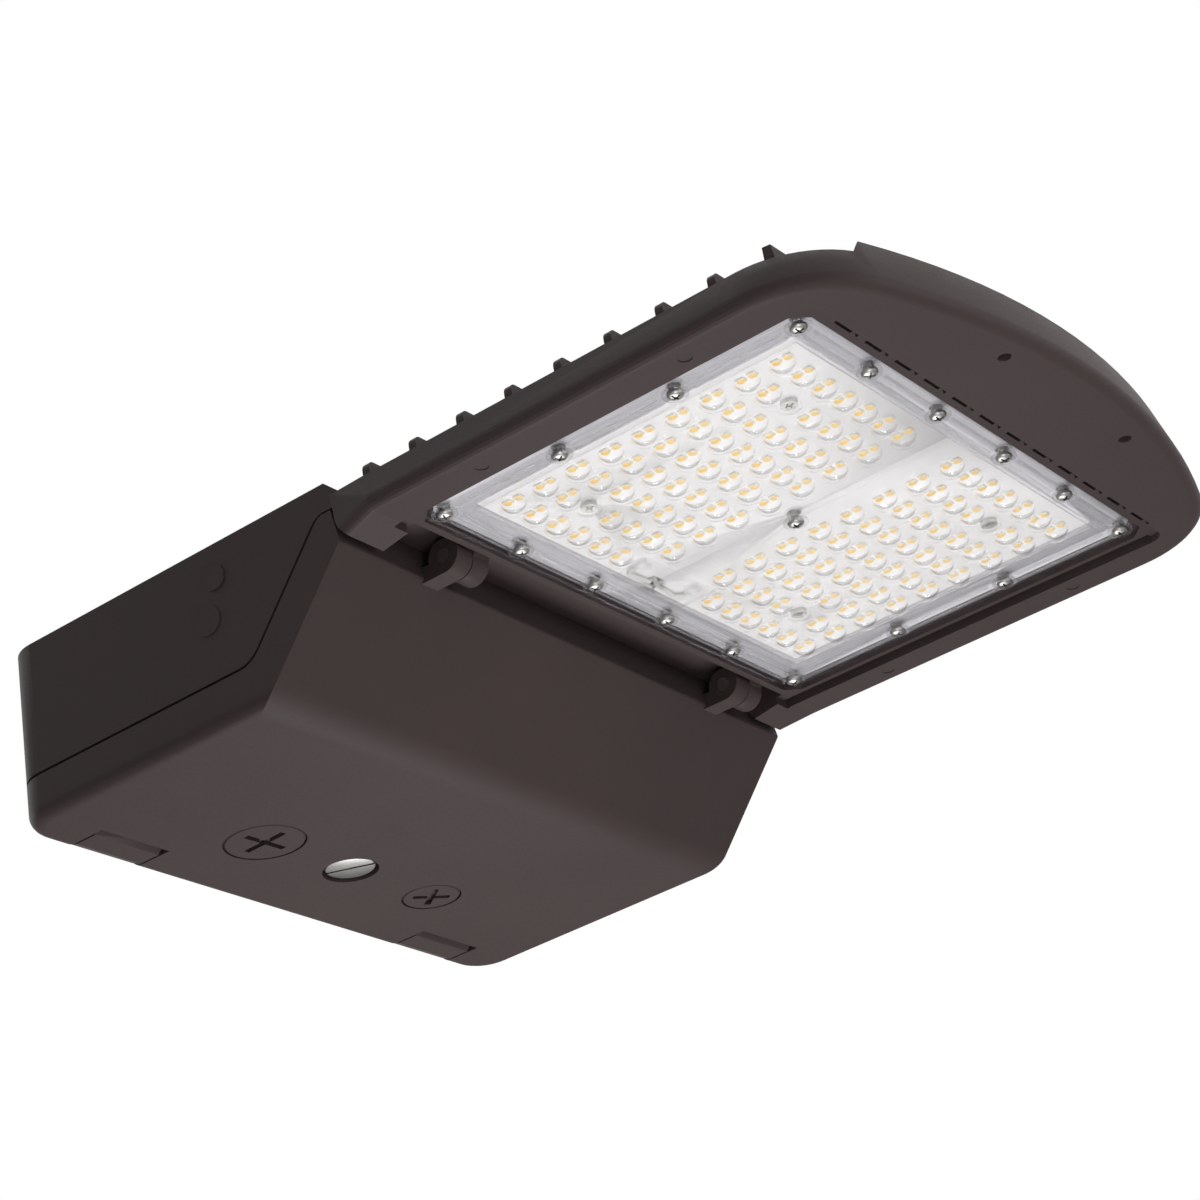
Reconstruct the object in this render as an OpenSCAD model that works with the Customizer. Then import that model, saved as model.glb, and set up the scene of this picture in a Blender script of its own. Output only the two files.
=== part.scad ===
// Shoebox area light: a finned head with an LED lens plate, in one casting with a driver box
// whose tray door swings down. The rear face bolts to a pole arm.
// Frame: +X from the pole to the tip, +Y across, +Z up, origin in the middle of the rear bolt holes.

/* [Driver box] */
// Length of the driver box, from the mounting face to the front of its roof
box_l = 148; // [135:1:165]
// Width over the flat sides of the driver box
box_w = 240; // [210:1:280]
// Height of the roof above the middle of the bolt holes
roof_h = 23.5; // [22:0.5:30]
// Depth of the door seam below the middle of the bolt holes
seam_drop = 24.5; // [18:0.5:30]
// Wall thickness of the casting
wall = 3; // [2.5:0.1:4]
// Thickness of the wall that bolts to the pole arm
rear_wall = 4.5; // [4:0.5:7]
// Plan radius of the two rear corners
corner_r = 14; // [9:1:20]
// Run of the bevel in front of the roof
roof_bevel = 5.5; // [4:0.5:7]

/* [Door] */
// Depth of the door below its seam
door_h = 15.2; // [13:0.2:24]
// Wall thickness of the door
door_wall = 2.6; // [2:0.1:4]
// Height of the top edge of the sloping front above the middle of the bolt holes
slope_top_h = 1.5; // [0:0.5:4]
// Angle of the sloping front
slope_angle = 48.8; // [42:0.2:56]
// Reach of the sloping front past the roof's front
slope_reach = 1.7; // [1:0.1:2.2]
// Radius between the bottom and the sloping front
blend_r = 18; // [8:1:26]
// Radius along the bottom edges of the door
edge_r = 5; // [3.5:0.5:8]
// Depth of the door's side walls behind the sloping front
skirt = 13.4; // [10:0.2:18]
// Height of the top edge of the door's front wall above the middle of the bolt holes
door_top_h = 13.2; // [12.4:0.1:13.8]
// Gap of the seam between the door and the housing
seam_gap = 1; // [0.8:0.1:1.4]
// Width of each notch in the rear edge
notch_w = 31; // [22:1:36]
// Length of each notch
notch_l = 17.8; // [14:0.2:24]
// Distance of each notch from the middle
notch_y = 81.3; // [72:0.1:86]
// Gap between a notch and the tongue in it
notch_gap = 0.8; // [0.5:0.1:1.2]

/* [Hinge] */
// Distance of the hinge axis in front of the roof's front
hinge_reach = 10; // [9.4:0.1:10.2]
// Height of the hinge axis above the middle of the bolt holes
hinge_h = 6; // [5.6:0.1:6.4]
// Radius of the hinge barrels
barrel_r = 6; // [5:0.1:6.2]
// Radius of the hinge pins
pin_r = 2.5; // [2:0.1:3]
// Width of each arm and each eye
barrel_w = 7.6; // [6:0.2:10]
// Place of the left joint between arm and eye
hinge_left_y = -71.8; // [-80:0.2:-55]
// Place of the right joint between arm and eye
hinge_right_y = 82.2; // [60:0.2:88]

/* [Head] */
// Distance from the roof's front to the rear edge of the lens
lens_setback = 20; // [19.6:0.2:24]
// Height of the flat rim under the head above the middle of the bolt holes
rim_h = 4.7; // [4:0.1:5]
// Width over the widest line of the head
head_w = 247; // [244.4:0.2:260]
// Lean of the head's outer wall
head_lean = 17; // [12:1:18]
// Radius along the lower edge of the head
rim_r = 3.5; // [2.5:0.5:4.5]
// Distance from the lens to the tip of the head
tip_reach = 40.5; // [34:0.5:50]
// Plan radius of the tip
tip_r = 308; // [260:1:400]
// Plan radius of the two front corners
front_r = 36; // [28:1:44]
// Height of the side walls of the head
side_h = 18.4; // [17.8:0.1:20]
// Height of the floor between the fins
base_h = 16.6; // [16.2:0.1:17.2]
// Length of the closed cap at the tip
cap_l = 21; // [14:0.5:24]
// Distance of the accessory screw holes behind the tip
accessory_back = 12.5; // [9:0.5:15]
// Spacing of the two accessory screw holes
accessory_pitch = 75; // [50:1:110]
// Radius of an accessory screw hole
accessory_r = 2.15; // [1.8:0.05:2.6]

/* [Heat sink] */
// Number of cross fins
fin_count = 9; // [7:1:11]
// Thickness of a fin at its foot
fin_foot = 3.4; // [3:0.1:5]
// Thickness of a fin at its top
fin_top = 2.4; // [2:0.1:2.9]
// Radius at the ends of a fin's top
fin_end_r = 3; // [2:0.5:4]
// Number of vent slots along the tip side of the lens
tip_slots = 12; // [10:1:13]

/* [Optics] */
// Length of the lens plate along the head
lens_l = 146; // [140:1:160]
// Width of the lens plate across the head
lens_w = 208; // [200:1:209]
// Thickness of the lens flange
lens_t = 2.6; // [2.3:0.1:2.8]
// Depth of the lens above the rim
lens_recess = 3.3; // [3.2:0.1:3.6]
// Chamfer at the corners of the lens plate
lens_chamfer = 5; // [4:0.5:7]
// Spacing of the domes along the head
dome_pitch_x = 12.88; // [12.4:0.02:13.2]
// Spacing of the domes across the head
dome_pitch_y = 11.18; // [10.8:0.02:11.4]
// Radius of a dome where it leaves the plate
dome_foot_r = 4.6; // [4:0.1:5]
// Height of a dome
dome_h = 2.5; // [2:0.1:2.8]
// Wall thickness of a dome over its LEDs
dome_wall = 1.1; // [0.9:0.1:1.4]
// Distance of the first row of domes from the middle
bank_y = 14.6; // [14:0.1:16]
// Thickness of an LED board
board_t = 1.6; // [1.4:0.1:1.8]
// Side of an LED chip
chip = 2.8; // [2.4:0.1:3]
// Radius of the head of a lens screw
lens_screw_r = 3.4; // [3:0.1:3.8]

/* [Plugs and door screw] */
// Distance of the plugs and the screw from the mounting face
plug_x = 40.7; // [36:0.1:46]
// Distance of each plug from the middle
plug_y = 43.4; // [40:0.1:48]
// Radius of the large plug's seat
large_r = 14.35; // [12:0.05:16]
// Radius of the small plug's seat
small_r = 10.85; // [9:0.05:12]
// Thickness of a plug's head
plug_head = 3; // [2.6:0.1:3.4]
// Length of a plug's threaded part
plug_thread = 9; // [7:0.5:11]
// Radius of the door screw's head
screw_head_r = 8.85; // [7.5:0.05:9.5]
// Radius of the door screw's shank
screw_r = 2.5; // [2:0.1:3]
// Travel of the door screw before its retainer stops it
screw_travel = 5; // [4:0.5:6]

/* [Driver and wiring] */
// Length of the LED driver across the box
driver_l = 150; // [120:1:160]
// Width of the LED driver
driver_w = 60; // [50:1:64]
// Height of the LED driver
driver_h = 30; // [24:1:34]
// Distance of the driver from the front wall of the box
driver_front_gap = 12; // [8:1:14]
// Share of the free width in the box that lies at the driver's left end
driver_end_share = 0.395; // [0.3:0.005:0.6]
// Height of the terminal block
terminal_h = 16; // [12:1:20]
// Height of the surge protector
surge_h = 24; // [20:1:30]
// Radius of an AC lead
ac_lead_r = 1.2; // [1:0.1:1.5]
// Radius of a DC lead
dc_lead_r = 0.8; // [0.6:0.05:0.9]

/* [Mounting] */
// Spacing of the two rear bolt holes
bolt_pitch = 64; // [56:1:80]
// Radius of a rear bolt hole
bolt_r = 4.5; // [3.5:0.25:5.5]
// Radius of the rear wire entry
entry_r = 9; // [7:0.5:11]

/* [Hidden] */
$fn = 48;
// Facets of the large tip arc
tip_fn = 360;
// A little more than a face, for clean cuts
cut = 1;

// Levels
seam_z = -seam_drop;
floor_z = seam_z - door_h;
lens_z = rim_h + lens_recess;
seat_z = lens_z + lens_t;
board_seat_z = lens_z + 4.9;
cavity_top = roof_h - wall;
lip_z = door_top_h + seam_gap * 0.6;
// Places along the head
door_front_x = box_l + slope_reach;
door_top_x = box_l - 0.5;
hinge_x = box_l + hinge_reach;
recess_front_x = hinge_x + barrel_r + 0.5;
lens_x = box_l + lens_setback;
lens_mid_x = lens_x + lens_l / 2;
lens_end_x = lens_x + lens_l;
tip_x = lens_end_x + tip_reach;
cap_x = tip_x - cap_l;
tip_centre_x = tip_x - tip_r;
// Middle of each front corner, where its arc meets the side and the tip
corner_y = head_w / 2 - front_r;
corner_x = tip_centre_x + sqrt(pow(tip_r - front_r, 2) - pow(corner_y, 2));
fin_pitch = (lens_end_x - lens_x + 5.5) / 8;
first_fin_x = lens_x - 6.1;
// The rim round the lens, from the lens outwards: gap, lip and channel
lens_gap = 0.4;
lip_w = 2.2;
channel_z = lens_z + 1.6;
slot_w = 2;
tip_slot_w = 1.6;
// Notch at each of these slots in the edge of the rim, where it shows as a dash
tip_slot_cut = 1.2;
tip_slot_pitch = 16.25;
// Level of the frame round the lens, a little below the lens
frame_z = lens_z - 1;
cheek_x = box_l + 17;
cheek_dip = 2.6;
// Boards, in two banks, with the domes' grid in the middle of the lens
board_half = bank_y + 6.5 * dome_pitch_y + 2.6;
board_x = lens_mid_x - 4.7 * dome_pitch_x;
board_end_x = lens_mid_x + 4.7 * dome_pitch_x;
board_gap = 1;
groove_z = seat_z + 1.4;
// Distance of the gasket from the edge of the lens plate
gasket_in = 1.5;
chip_h = 0.7;
// Level of the plate over the leads and the screws of the boards
wiring_z = lens_z + 1;
field_z = lens_z + 2;
front_wall = 8;
// Hole for the DC leads, through the roof's front wall and the duct on the head
duct_half = 8;
duct_top = roof_h - 0.9;
duct_z = lip_z + 3.6;
duct_turn_x = board_x + 3.2;
duct_end_x = duct_turn_x + 6;
lead_hole_r = 2.4;
// Rear wall, door screw and its post
rear_pad = 8;
// The screw's head lies a little inside its round recess
head_sink = 0.8;
head_seat = 2.8;
screw_boss_z = floor_z + 5;
retainer_t = 1;
retainer_z = screw_boss_z + screw_travel;
post_z = retainer_z + retainer_t + 0.5;
screw_tip_z = post_z + screw_travel - 1;
// Driver against the roof, with its rear edge at driver_x and its left end at driver_left_y
driver_x = box_l - front_wall - driver_front_gap - driver_w;
driver_tab = 10;
surge_w = 26;
surge_l = 44;
side_spare = box_w - 2 * wall - driver_l - 2 * driver_tab - surge_w;
driver_left_y = -box_w / 2 + wall + driver_tab + side_spare * driver_end_share;
driver_right_y = driver_left_y + driver_l;
driver_screw_places = [for (y = [driver_left_y - driver_tab / 2, driver_right_y + driver_tab / 2])
                       [driver_x + driver_w / 2, y]];
// Terminal block behind the driver, and the surge protector at its right end
block_x = driver_x - 30;
block_w = 14;
block_l = 34;
block_y = driver_right_y - block_l;
surge_x = driver_x + 4;
surge_y = driver_right_y + driver_tab + side_spare * 0.105;
ground_x = 24;
ground_y = block_y + block_l + 8;
// Screws of the lens plate: rows along its rear and tip edges, two on each side, and one in the middle
lens_screw_in = 5.8;
lens_screw_rows = [for (x = [lens_x + lens_screw_in, lens_end_x - lens_screw_in])
                   for (y = [-97, -59, -20, 20, 59, 97]) [x, y * lens_w / 208]];
lens_screw_sides = [for (x = [lens_mid_x - 22, lens_mid_x + 22])
                    for (s = [-1, 1]) [x, s * (lens_w / 2 - 7.8)]];
lens_screw_places = concat(lens_screw_rows, lens_screw_sides, [[lens_mid_x, 0]]);
board_screw_places = [for (k = [-3, 3]) for (s = [-1, 1])
                      [lens_mid_x + k * dome_pitch_x, s * (bank_y + 4 * dome_pitch_y)]];
mark_in = 34.7;
mark_places = [lens_x + mark_in, lens_end_x - mark_in];

// ---- Helpers ----

function unit(v) = v / norm(v);

// Arc of radius r that rounds the corner q between p and s
function rounded(p, q, s, r, n = 8) =
    let (u = unit(p - q),
         v = unit(s - q),
         half = acos(u * v) / 2,
         c = q + unit(u + v) * r / sin(half),
         first = q + u * r / tan(half) - c,
         start = atan2(first.y, first.x),
         turn = -sign(cross(u, v)) * (180 - 2 * half))
    [for (i = [0:n]) c + r * [cos(start + turn * i / n), sin(start + turn * i / n)]];

// Place along X of the sloping front at height z, drawn back by inset
function slope_x(z, inset) =
    door_front_x - (slope_top_h - z) / tan(slope_angle) - inset / sin(slope_angle);

// Line of the seam from rear to front, moved by lift from the door towards the housing
function seam_path(lift) =
    let (low = [slope_x(seam_z + lift, skirt + lift), seam_z + lift],
         high = [slope_x(door_top_h + lift * 0.6, skirt + lift), door_top_h + lift * 0.6],
         rear = [-cut, low.y],
         front = [box_l + 4, high.y])
    concat([rear], rounded(rear, low, high, 12 - lift), rounded(low, high, front, 6 + lift), [front]);

// Draw an outline of [x, z] points as a slab that is w wide across Y
module across(w) {
    rotate([90, 0, 0])
        linear_extrude(w, center = true)
            children();
}

// Draw an outline of [y, z] points as a bar from x0 to x1
module along(x0, x1) {
    translate([x0, 0, 0])
        rotate([90, 0, 90])
            linear_extrude(x1 - x0)
                children();
}

module block(x0, x1, y0, y1, z0, z1) {
    translate([x0, y0, z0])
        cube([x1 - x0, y1 - y0, z1 - z0]);
}

module upright(x, y, z0, z1, r) {
    translate([x, y, z0])
        cylinder(h = z1 - z0, r = r);
}

module both_sides() {
    children();
    mirror([0, 1, 0])
        children();
}

// Screw from below: pan head under z and shank above it, with a cross recess
module pan_screw(x, y, z, head_r, head_h, shank_r, shank_h) {
    difference() {
        union() {
            upright(x, y, z - head_h, z, head_r);
            upright(x, y, z, z + shank_h, shank_r);
        }
        for (a = [0, 90])
            translate([x, y, z - head_h])
                rotate([0, 0, a])
                    cube([head_r * 1.1, head_r * 0.25, head_h], center = true);
    }
}

// Direction of a route at each of its points
function ways(points) =
    [for (i = [0:len(points) - 1])
        unit((i > 0 ? unit(points[i] - points[i - 1]) : [0, 0, 0])
             + (i < len(points) - 1 ? unit(points[i + 1] - points[i]) : [0, 0, 0]))];

// Side vector carried along a route without twist
function carried(d, side, i = 0) =
    i == len(d) ? [] : let (m = unit(side - (side * d[i]) * d[i])) concat([m], carried(d, m, i + 1));

// Round wire swept along a route, as rings of eight points
module wire(points, r, rings = 8) {
    d = ways(points);
    m = carried(d, [0, 0, 1]);
    last = len(points) - 1;
    polyhedron(
        [for (i = [0:last]) for (k = [0:rings - 1])
            points[i] + r * (cos(k * 360 / rings) * m[i] + sin(k * 360 / rings) * cross(d[i], m[i]))],
        concat([[for (k = [rings - 1:-1:0]) k]],
               [for (i = [0:last - 1]) for (k = [0:rings - 1])
                   [i * rings + k, i * rings + (k + 1) % rings, (i + 1) * rings + k]],
               [for (i = [0:last - 1]) for (k = [0:rings - 1])
                   [i * rings + (k + 1) % rings, (i + 1) * rings + (k + 1) % rings, (i + 1) * rings + k]],
               [[for (k = [0:rings - 1]) last * rings + k]]));
}

// ---- Driver box and door ----

// Edge of a tray section at radius or half width r: round at the bottom z0, upright to z1
function tray_edge(r, z0, z1, round_r) =
    concat(rounded([0, z0], [r, z0], [r, z1], round_r, 6), [[r, z1]]);

// Box with round rear corners and round bottom edges, every face drawn in by inset
module tray(inset, rear_inset, z0, z1) {
    half = box_w / 2 - inset;
    round_r = max(edge_r - inset, 1.5);
    plan_r = corner_r - inset;
    mid_y = half - plan_r;
    mid_x = rear_inset + plan_r;
    side = tray_edge(plan_r, z0, z1, round_r);
    along(mid_x, box_l + 30)
        polygon(concat([for (p = side) p + [mid_y, 0]],
                       [for (i = [len(side) - 1:-1:0]) [-side[i].x - mid_y, side[i].y]]));
    across(2 * mid_y)
        polygon(concat([for (p = side) [mid_x - p.x, p.y]], [[mid_x, z1], [mid_x, z0]]));
    for (s = [0, 1])
        translate([mid_x, (s == 0 ? 1 : -1) * mid_y, 0])
            rotate([0, 0, s == 0 ? 90 : 180])
                rotate_extrude(angle = 90)
                    polygon(concat([[0, z0]], side, [[0, z1]]));
}

// Side outline of the box from the rear to the sloping front, up to the line top
module sloped_front(inset, top) {
    foot = [slope_x(floor_z + inset, inset), floor_z + inset];
    brow = [slope_x(slope_top_h, inset), slope_top_h];
    rear_foot = [-cut, foot.y];
    front_top = [door_top_x - inset, top[0].y];
    across(box_w + 2 * cut)
        polygon(concat([rear_foot], rounded(rear_foot, foot, brow, blend_r - inset, 12),
                       rounded(foot, brow, front_top, 1.2, 3), [front_top], top));
}

module notch_cut(gap) {
    for (y = [-notch_y, notch_y])
        block(-cut, notch_l - gap, y - notch_w / 2 + gap, y + notch_w / 2 - gap, floor_z - cut, roof_h);
}

// Arm of the door to one hinge, with its ring round the pin
module hinge_arm(y) {
    translate([0, y - barrel_w / 2 - 0.2, 0]) {
        across(barrel_w)
            translate([hinge_x, hinge_h])
                circle(barrel_r);
        across(barrel_w)
            polygon([[door_top_x - door_wall, hinge_h - barrel_r], [hinge_x, hinge_h - barrel_r],
                     [hinge_x, hinge_h - barrel_r + 5], [door_top_x - door_wall, hinge_h - barrel_r + 6]]);
    }
}

module pin_bore(r) {
    translate([hinge_x, 0, hinge_h])
        rotate([90, 0, 0])
            cylinder(h = box_w, r = r, center = true);
}

module plug_boss(y, r, thread_r) {
    upright(plug_x, y, floor_z + door_wall / 2, floor_z + plug_head + plug_thread, r + 2.4);
}

module plug_hole(y, r) {
    upright(plug_x, y, floor_z - cut, floor_z + plug_head + 1.2, r);
    upright(plug_x, y, floor_z, floor_z + door_h + cut, thread_r(r) + 0.05);
}

// Radius of the thread of a plug whose seat has radius r
function thread_r(r) = r * 0.8;

module door() {
    color("#453E3B")
    difference() {
        union() {
            difference() {
                intersection() {
                    tray(0, 0, floor_z, door_top_h);
                    sloped_front(0, [for (i = [len(seam_path(0)) - 2:-1:0]) seam_path(0)[i]]);
                }
                intersection() {
                    tray(door_wall, door_wall, floor_z + door_wall, door_top_h + cut);
                    sloped_front(door_wall, [[box_l / 2, door_top_h + cut], [-cut, door_top_h + cut]]);
                }
            }
            // Walls round the two notches
            intersection() {
                for (y = [-notch_y, notch_y])
                    block(0, notch_l + 2, y - notch_w / 2 - 2, y + notch_w / 2 + 2, floor_z, seam_z);
                tray(1, 1, floor_z, seam_z);
            }
            plug_boss(-plug_y, large_r);
            plug_boss(plug_y, small_r);
            upright(plug_x, 0, floor_z + door_wall / 2, screw_boss_z, screw_head_r + 3);
            hinge_arm(hinge_left_y);
            hinge_arm(hinge_right_y);
        }
        notch_cut(0);
        plug_hole(-plug_y, large_r);
        plug_hole(plug_y, small_r);
        upright(plug_x, 0, floor_z - cut, floor_z + head_seat, screw_head_r + 1.2);
        upright(plug_x, 0, floor_z, floor_z + door_h, screw_r + 0.1);
        pin_bore(pin_r + 0.06);
    }
}

// Rubber strip that lies on the door's edge, a little in from the outside, stopping at the notches
module door_gasket() {
    in = 0.9;
    w = 1.3;
    half = box_w / 2 - in;
    lift = seam_gap - 0.3;
    end_x = door_top_x - 0.6;
    end_z = door_top_h;
    low = seam_path(0);
    high = seam_path(lift);
    last = len(low) - 2;
    notch_far = notch_y + notch_w / 2 + 3;
    notch_near = notch_y - notch_w / 2 - 3;
    color("#202020") {
        both_sides()
            translate([0, half - w / 2, 0])
                across(w)
                    polygon(concat([[corner_r, seam_z]], [for (i = [1:last]) low[i]],
                                   [[end_x, end_z], [end_x, end_z + lift * 0.6]],
                                   [for (i = [last:-1:1]) high[i]], [[corner_r, seam_z + lift]]));
        both_sides()
            translate([corner_r, box_w / 2 - corner_r, seam_z])
                rotate([0, 0, 90])
                    rotate_extrude(angle = 90)
                        translate([corner_r - in - w, 0])
                            square([w, lift]);
        both_sides()
            block(in, in + w, notch_far, box_w / 2 - corner_r, seam_z, seam_z + lift);
        block(in, in + w, -notch_near, notch_near, seam_z, seam_z + lift);
        block(end_x - w, end_x, -half, half, end_z, end_z + lift * 0.6);
    }
}

module hinge_pins() {
    color("#8A8A8C")
        for (y = [hinge_left_y, hinge_right_y])
            translate([hinge_x, y + barrel_w + 0.2, hinge_h])
                rotate([90, 0, 0])
                    cylinder(h = 2 * barrel_w + 0.4, r = pin_r);
}

// ---- Housing ----

// Outer wall of the head at radius or half width r: round lower edge, then a wall that leans in
function head_edge(r, z0, z1, lean) =
    let (c = [r - rim_r, z0 + rim_r],
         high = c + rim_r * [cos(lean), sin(lean)])
    concat([for (i = [0:6]) c + rim_r * [cos(-90 + (90 + lean) * i / 6), sin(-90 + (90 + lean) * i / 6)]],
           [[high.x - (z1 - high.y) * tan(lean), z1]]);

// Direction in plan from the middle of the tip arc to the middle of a front corner
function corner_angle() = asin(corner_y / (tip_r - front_r));

module both_sides_flat() {
    children();
    mirror([0, 1])
        children();
}

// Points along an arc from angle a0 to a1
function arc(c, r, a0, a1, n, skip = 0) =
    [for (i = [skip:n - skip]) c + r * [cos(a0 + (a1 - a0) * i / n), sin(a0 + (a1 - a0) * i / n)]];

// Plan of the head from x0 to the tip, drawn in by inset
module head_plan(inset, x0) {
    polygon(concat([[x0, -head_w / 2 + inset]],
                   arc([corner_x, -corner_y], front_r - inset, -90, -corner_angle(), 12),
                   arc([tip_centre_x, 0], tip_r - inset, -corner_angle(), corner_angle(), 20, 1),
                   arc([corner_x, corner_y], front_r - inset, corner_angle(), 90, 12),
                   [[x0, head_w / 2 - inset]]));
}

// Head with a leaning outer wall and a round lower edge: a straight bar, the arc of the tip, and
// two corners that join them
module head_form() {
    side = head_edge(front_r, rim_h, roof_h, head_lean);
    tip = head_edge(tip_r, rim_h, roof_h, head_lean);
    arc_from = tip_r - 2 * front_r;
    along(cheek_x, corner_x)
        polygon(concat([for (p = side) p + [corner_y, 0]],
                       [for (i = [len(side) - 1:-1:0]) [-side[i].x - corner_y, side[i].y]]));
    translate([tip_centre_x, 0, 0])
        rotate([0, 0, -corner_angle()])
            rotate_extrude(angle = 2 * corner_angle(), $fn = tip_fn)
                polygon(concat([[arc_from, rim_h]], tip, [[arc_from, roof_h]]));
    both_sides()
        translate([corner_x, corner_y, 0])
            rotate([0, 0, corner_angle()])
                rotate_extrude(angle = 90 - corner_angle(), $fn = 96)
                    polygon(concat([[0, rim_h]], side, [[0, roof_h]]));
}

// Rear end of one side of the head, which dips to the door's slope and meets the box's side
module cheek() {
    inner_y = recess_y();
    hull() {
        along(cheek_x - 0.1, cheek_x)
            polygon(concat([[inner_y, rim_h]],
                           [for (p = head_edge(front_r, rim_h, side_h, head_lean)) p + [corner_y, 0]],
                           [[inner_y, side_h]]));
        along(box_l, box_l + 0.1)
            polygon(concat([[inner_y, rim_h - cheek_dip]],
                           [for (p = head_edge(front_r, rim_h - cheek_dip, side_h, 0))
                               p + [box_w / 2 - front_r, 0]],
                           [[inner_y, side_h]]));
    }
}

// Half width of the recess that holds the hinges
function recess_y() = head_w / 2 - 21.5;

// Rear ends of the cheeks, cut to run clear of the door's front wall
module cheek_clearance() {
    across(head_w + 2)
        polygon([[box_l - cut, lip_z], [box_l + 0.5, lip_z], [box_l + 0.9, hinge_h + 2.5],
                 [box_l + 1.8, hinge_h], [box_l + 4.5, hinge_h - barrel_r + 2],
                 [box_l + 4.5, floor_z], [box_l - cut, floor_z]]);
}

// Trapezoid fins across the head, with round ends
module fins() {
    half = head_w / 2 - 3.6;
    intersection() {
        for (i = [0:fin_count - 1])
            translate([first_fin_x + i * fin_pitch, 0, 0])
                across(head_w)
                    polygon([[0, base_h - 0.5], [fin_foot, base_h - 0.5], [fin_top, roof_h], [0, roof_h]]);
        along(box_l, cap_x + cut)
            polygon(concat([[-half, base_h - cut], [half, base_h - cut]],
                           rounded([half, base_h], [half, roof_h], [0, roof_h], fin_end_r, 6),
                           rounded([0, roof_h], [-half, roof_h], [-half, base_h], fin_end_r, 6)));
        translate([0, 0, base_h - cut])
            linear_extrude(roof_h - base_h + 2 * cut)
                head_plan(3.6, box_l);
    }
}

// Duct on top of the head that takes the DC leads from the box to the boards
module lead_duct() {
    across(2 * duct_half)
        polygon([[box_l - front_wall, base_h - 0.5], [duct_end_x, base_h - 0.5], [duct_end_x, duct_top - 3],
                 [duct_end_x - 3, duct_top], [box_l - front_wall, duct_top]]);
}

module box_shell() {
    difference() {
        intersection() {
            tray(0, 0, floor_z, roof_h);
            across(box_w + cut)
                polygon(concat([for (i = [0:len(seam_path(seam_gap)) - 2]) seam_path(seam_gap)[i]],
                               [[cheek_x, lip_z], [cheek_x, base_h], [box_l + roof_bevel, base_h],
                                [box_l - 2 + roof_bevel, side_h],
                                [box_l - 2, roof_h], [-cut, roof_h]]));
        }
        intersection() {
            tray(wall, rear_wall, floor_z, cavity_top);
            block(0, box_l - front_wall, -box_w, box_w, floor_z - cut, roof_h);
        }
    }
}

// Tongue that stands in a notch of the door's rear edge, with a bevelled front
module tongue() {
    across(notch_w - 2 * notch_gap)
        polygon([[0, seam_z + 4], [0, floor_z + edge_r], [edge_r * 0.3, floor_z + edge_r * 0.3],
                 [edge_r, floor_z], [notch_l - notch_gap - 3.5, floor_z],
                 [notch_l - notch_gap, floor_z + 3.5], [notch_l - notch_gap, floor_z + 5.5],
                 [rear_wall + 3, floor_z + 5.5], [rear_wall, floor_z + 9], [rear_wall, seam_z + 4]]);
}

module hinge_eye(y) {
    translate([0, y + barrel_w / 2 + 0.2, 0]) {
        across(barrel_w)
            translate([hinge_x, hinge_h])
                circle(barrel_r);
        across(barrel_w)
            polygon([[hinge_x - barrel_r, hinge_h], [hinge_x + barrel_r, hinge_h],
                     [recess_front_x + 0.5, hinge_h + 2], [recess_front_x + 0.5, lip_z + 0.5],
                     [hinge_x - barrel_r, lip_z + 0.5]]);
    }
}

// Plan of the lens plate, drawn out by grow
module lens_outline(grow) {
    c = lens_chamfer;
    x0 = lens_x - grow;
    x1 = lens_end_x + grow;
    y = lens_w / 2 + grow;
    polygon([[x0 + c, -y], [x1 - c, -y], [x1, -y + c], [x1, y - c], [x1 - c, y], [x0 + c, y], [x0, y - c],
             [x0, -y + c]]);
}

// Opening in the rim, which leaves the channel with its slots round three sides of the lens
module rim_opening(x0, x1, half, r) {
    translate([x0, -half])
        square([x1 - r - x0, 2 * half]);
    translate([x0, -half + r])
        square([x1 - x0, 2 * half - 2 * r]);
    both_sides_flat()
        translate([x1 - r, half - r])
            circle(r);
}

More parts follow.
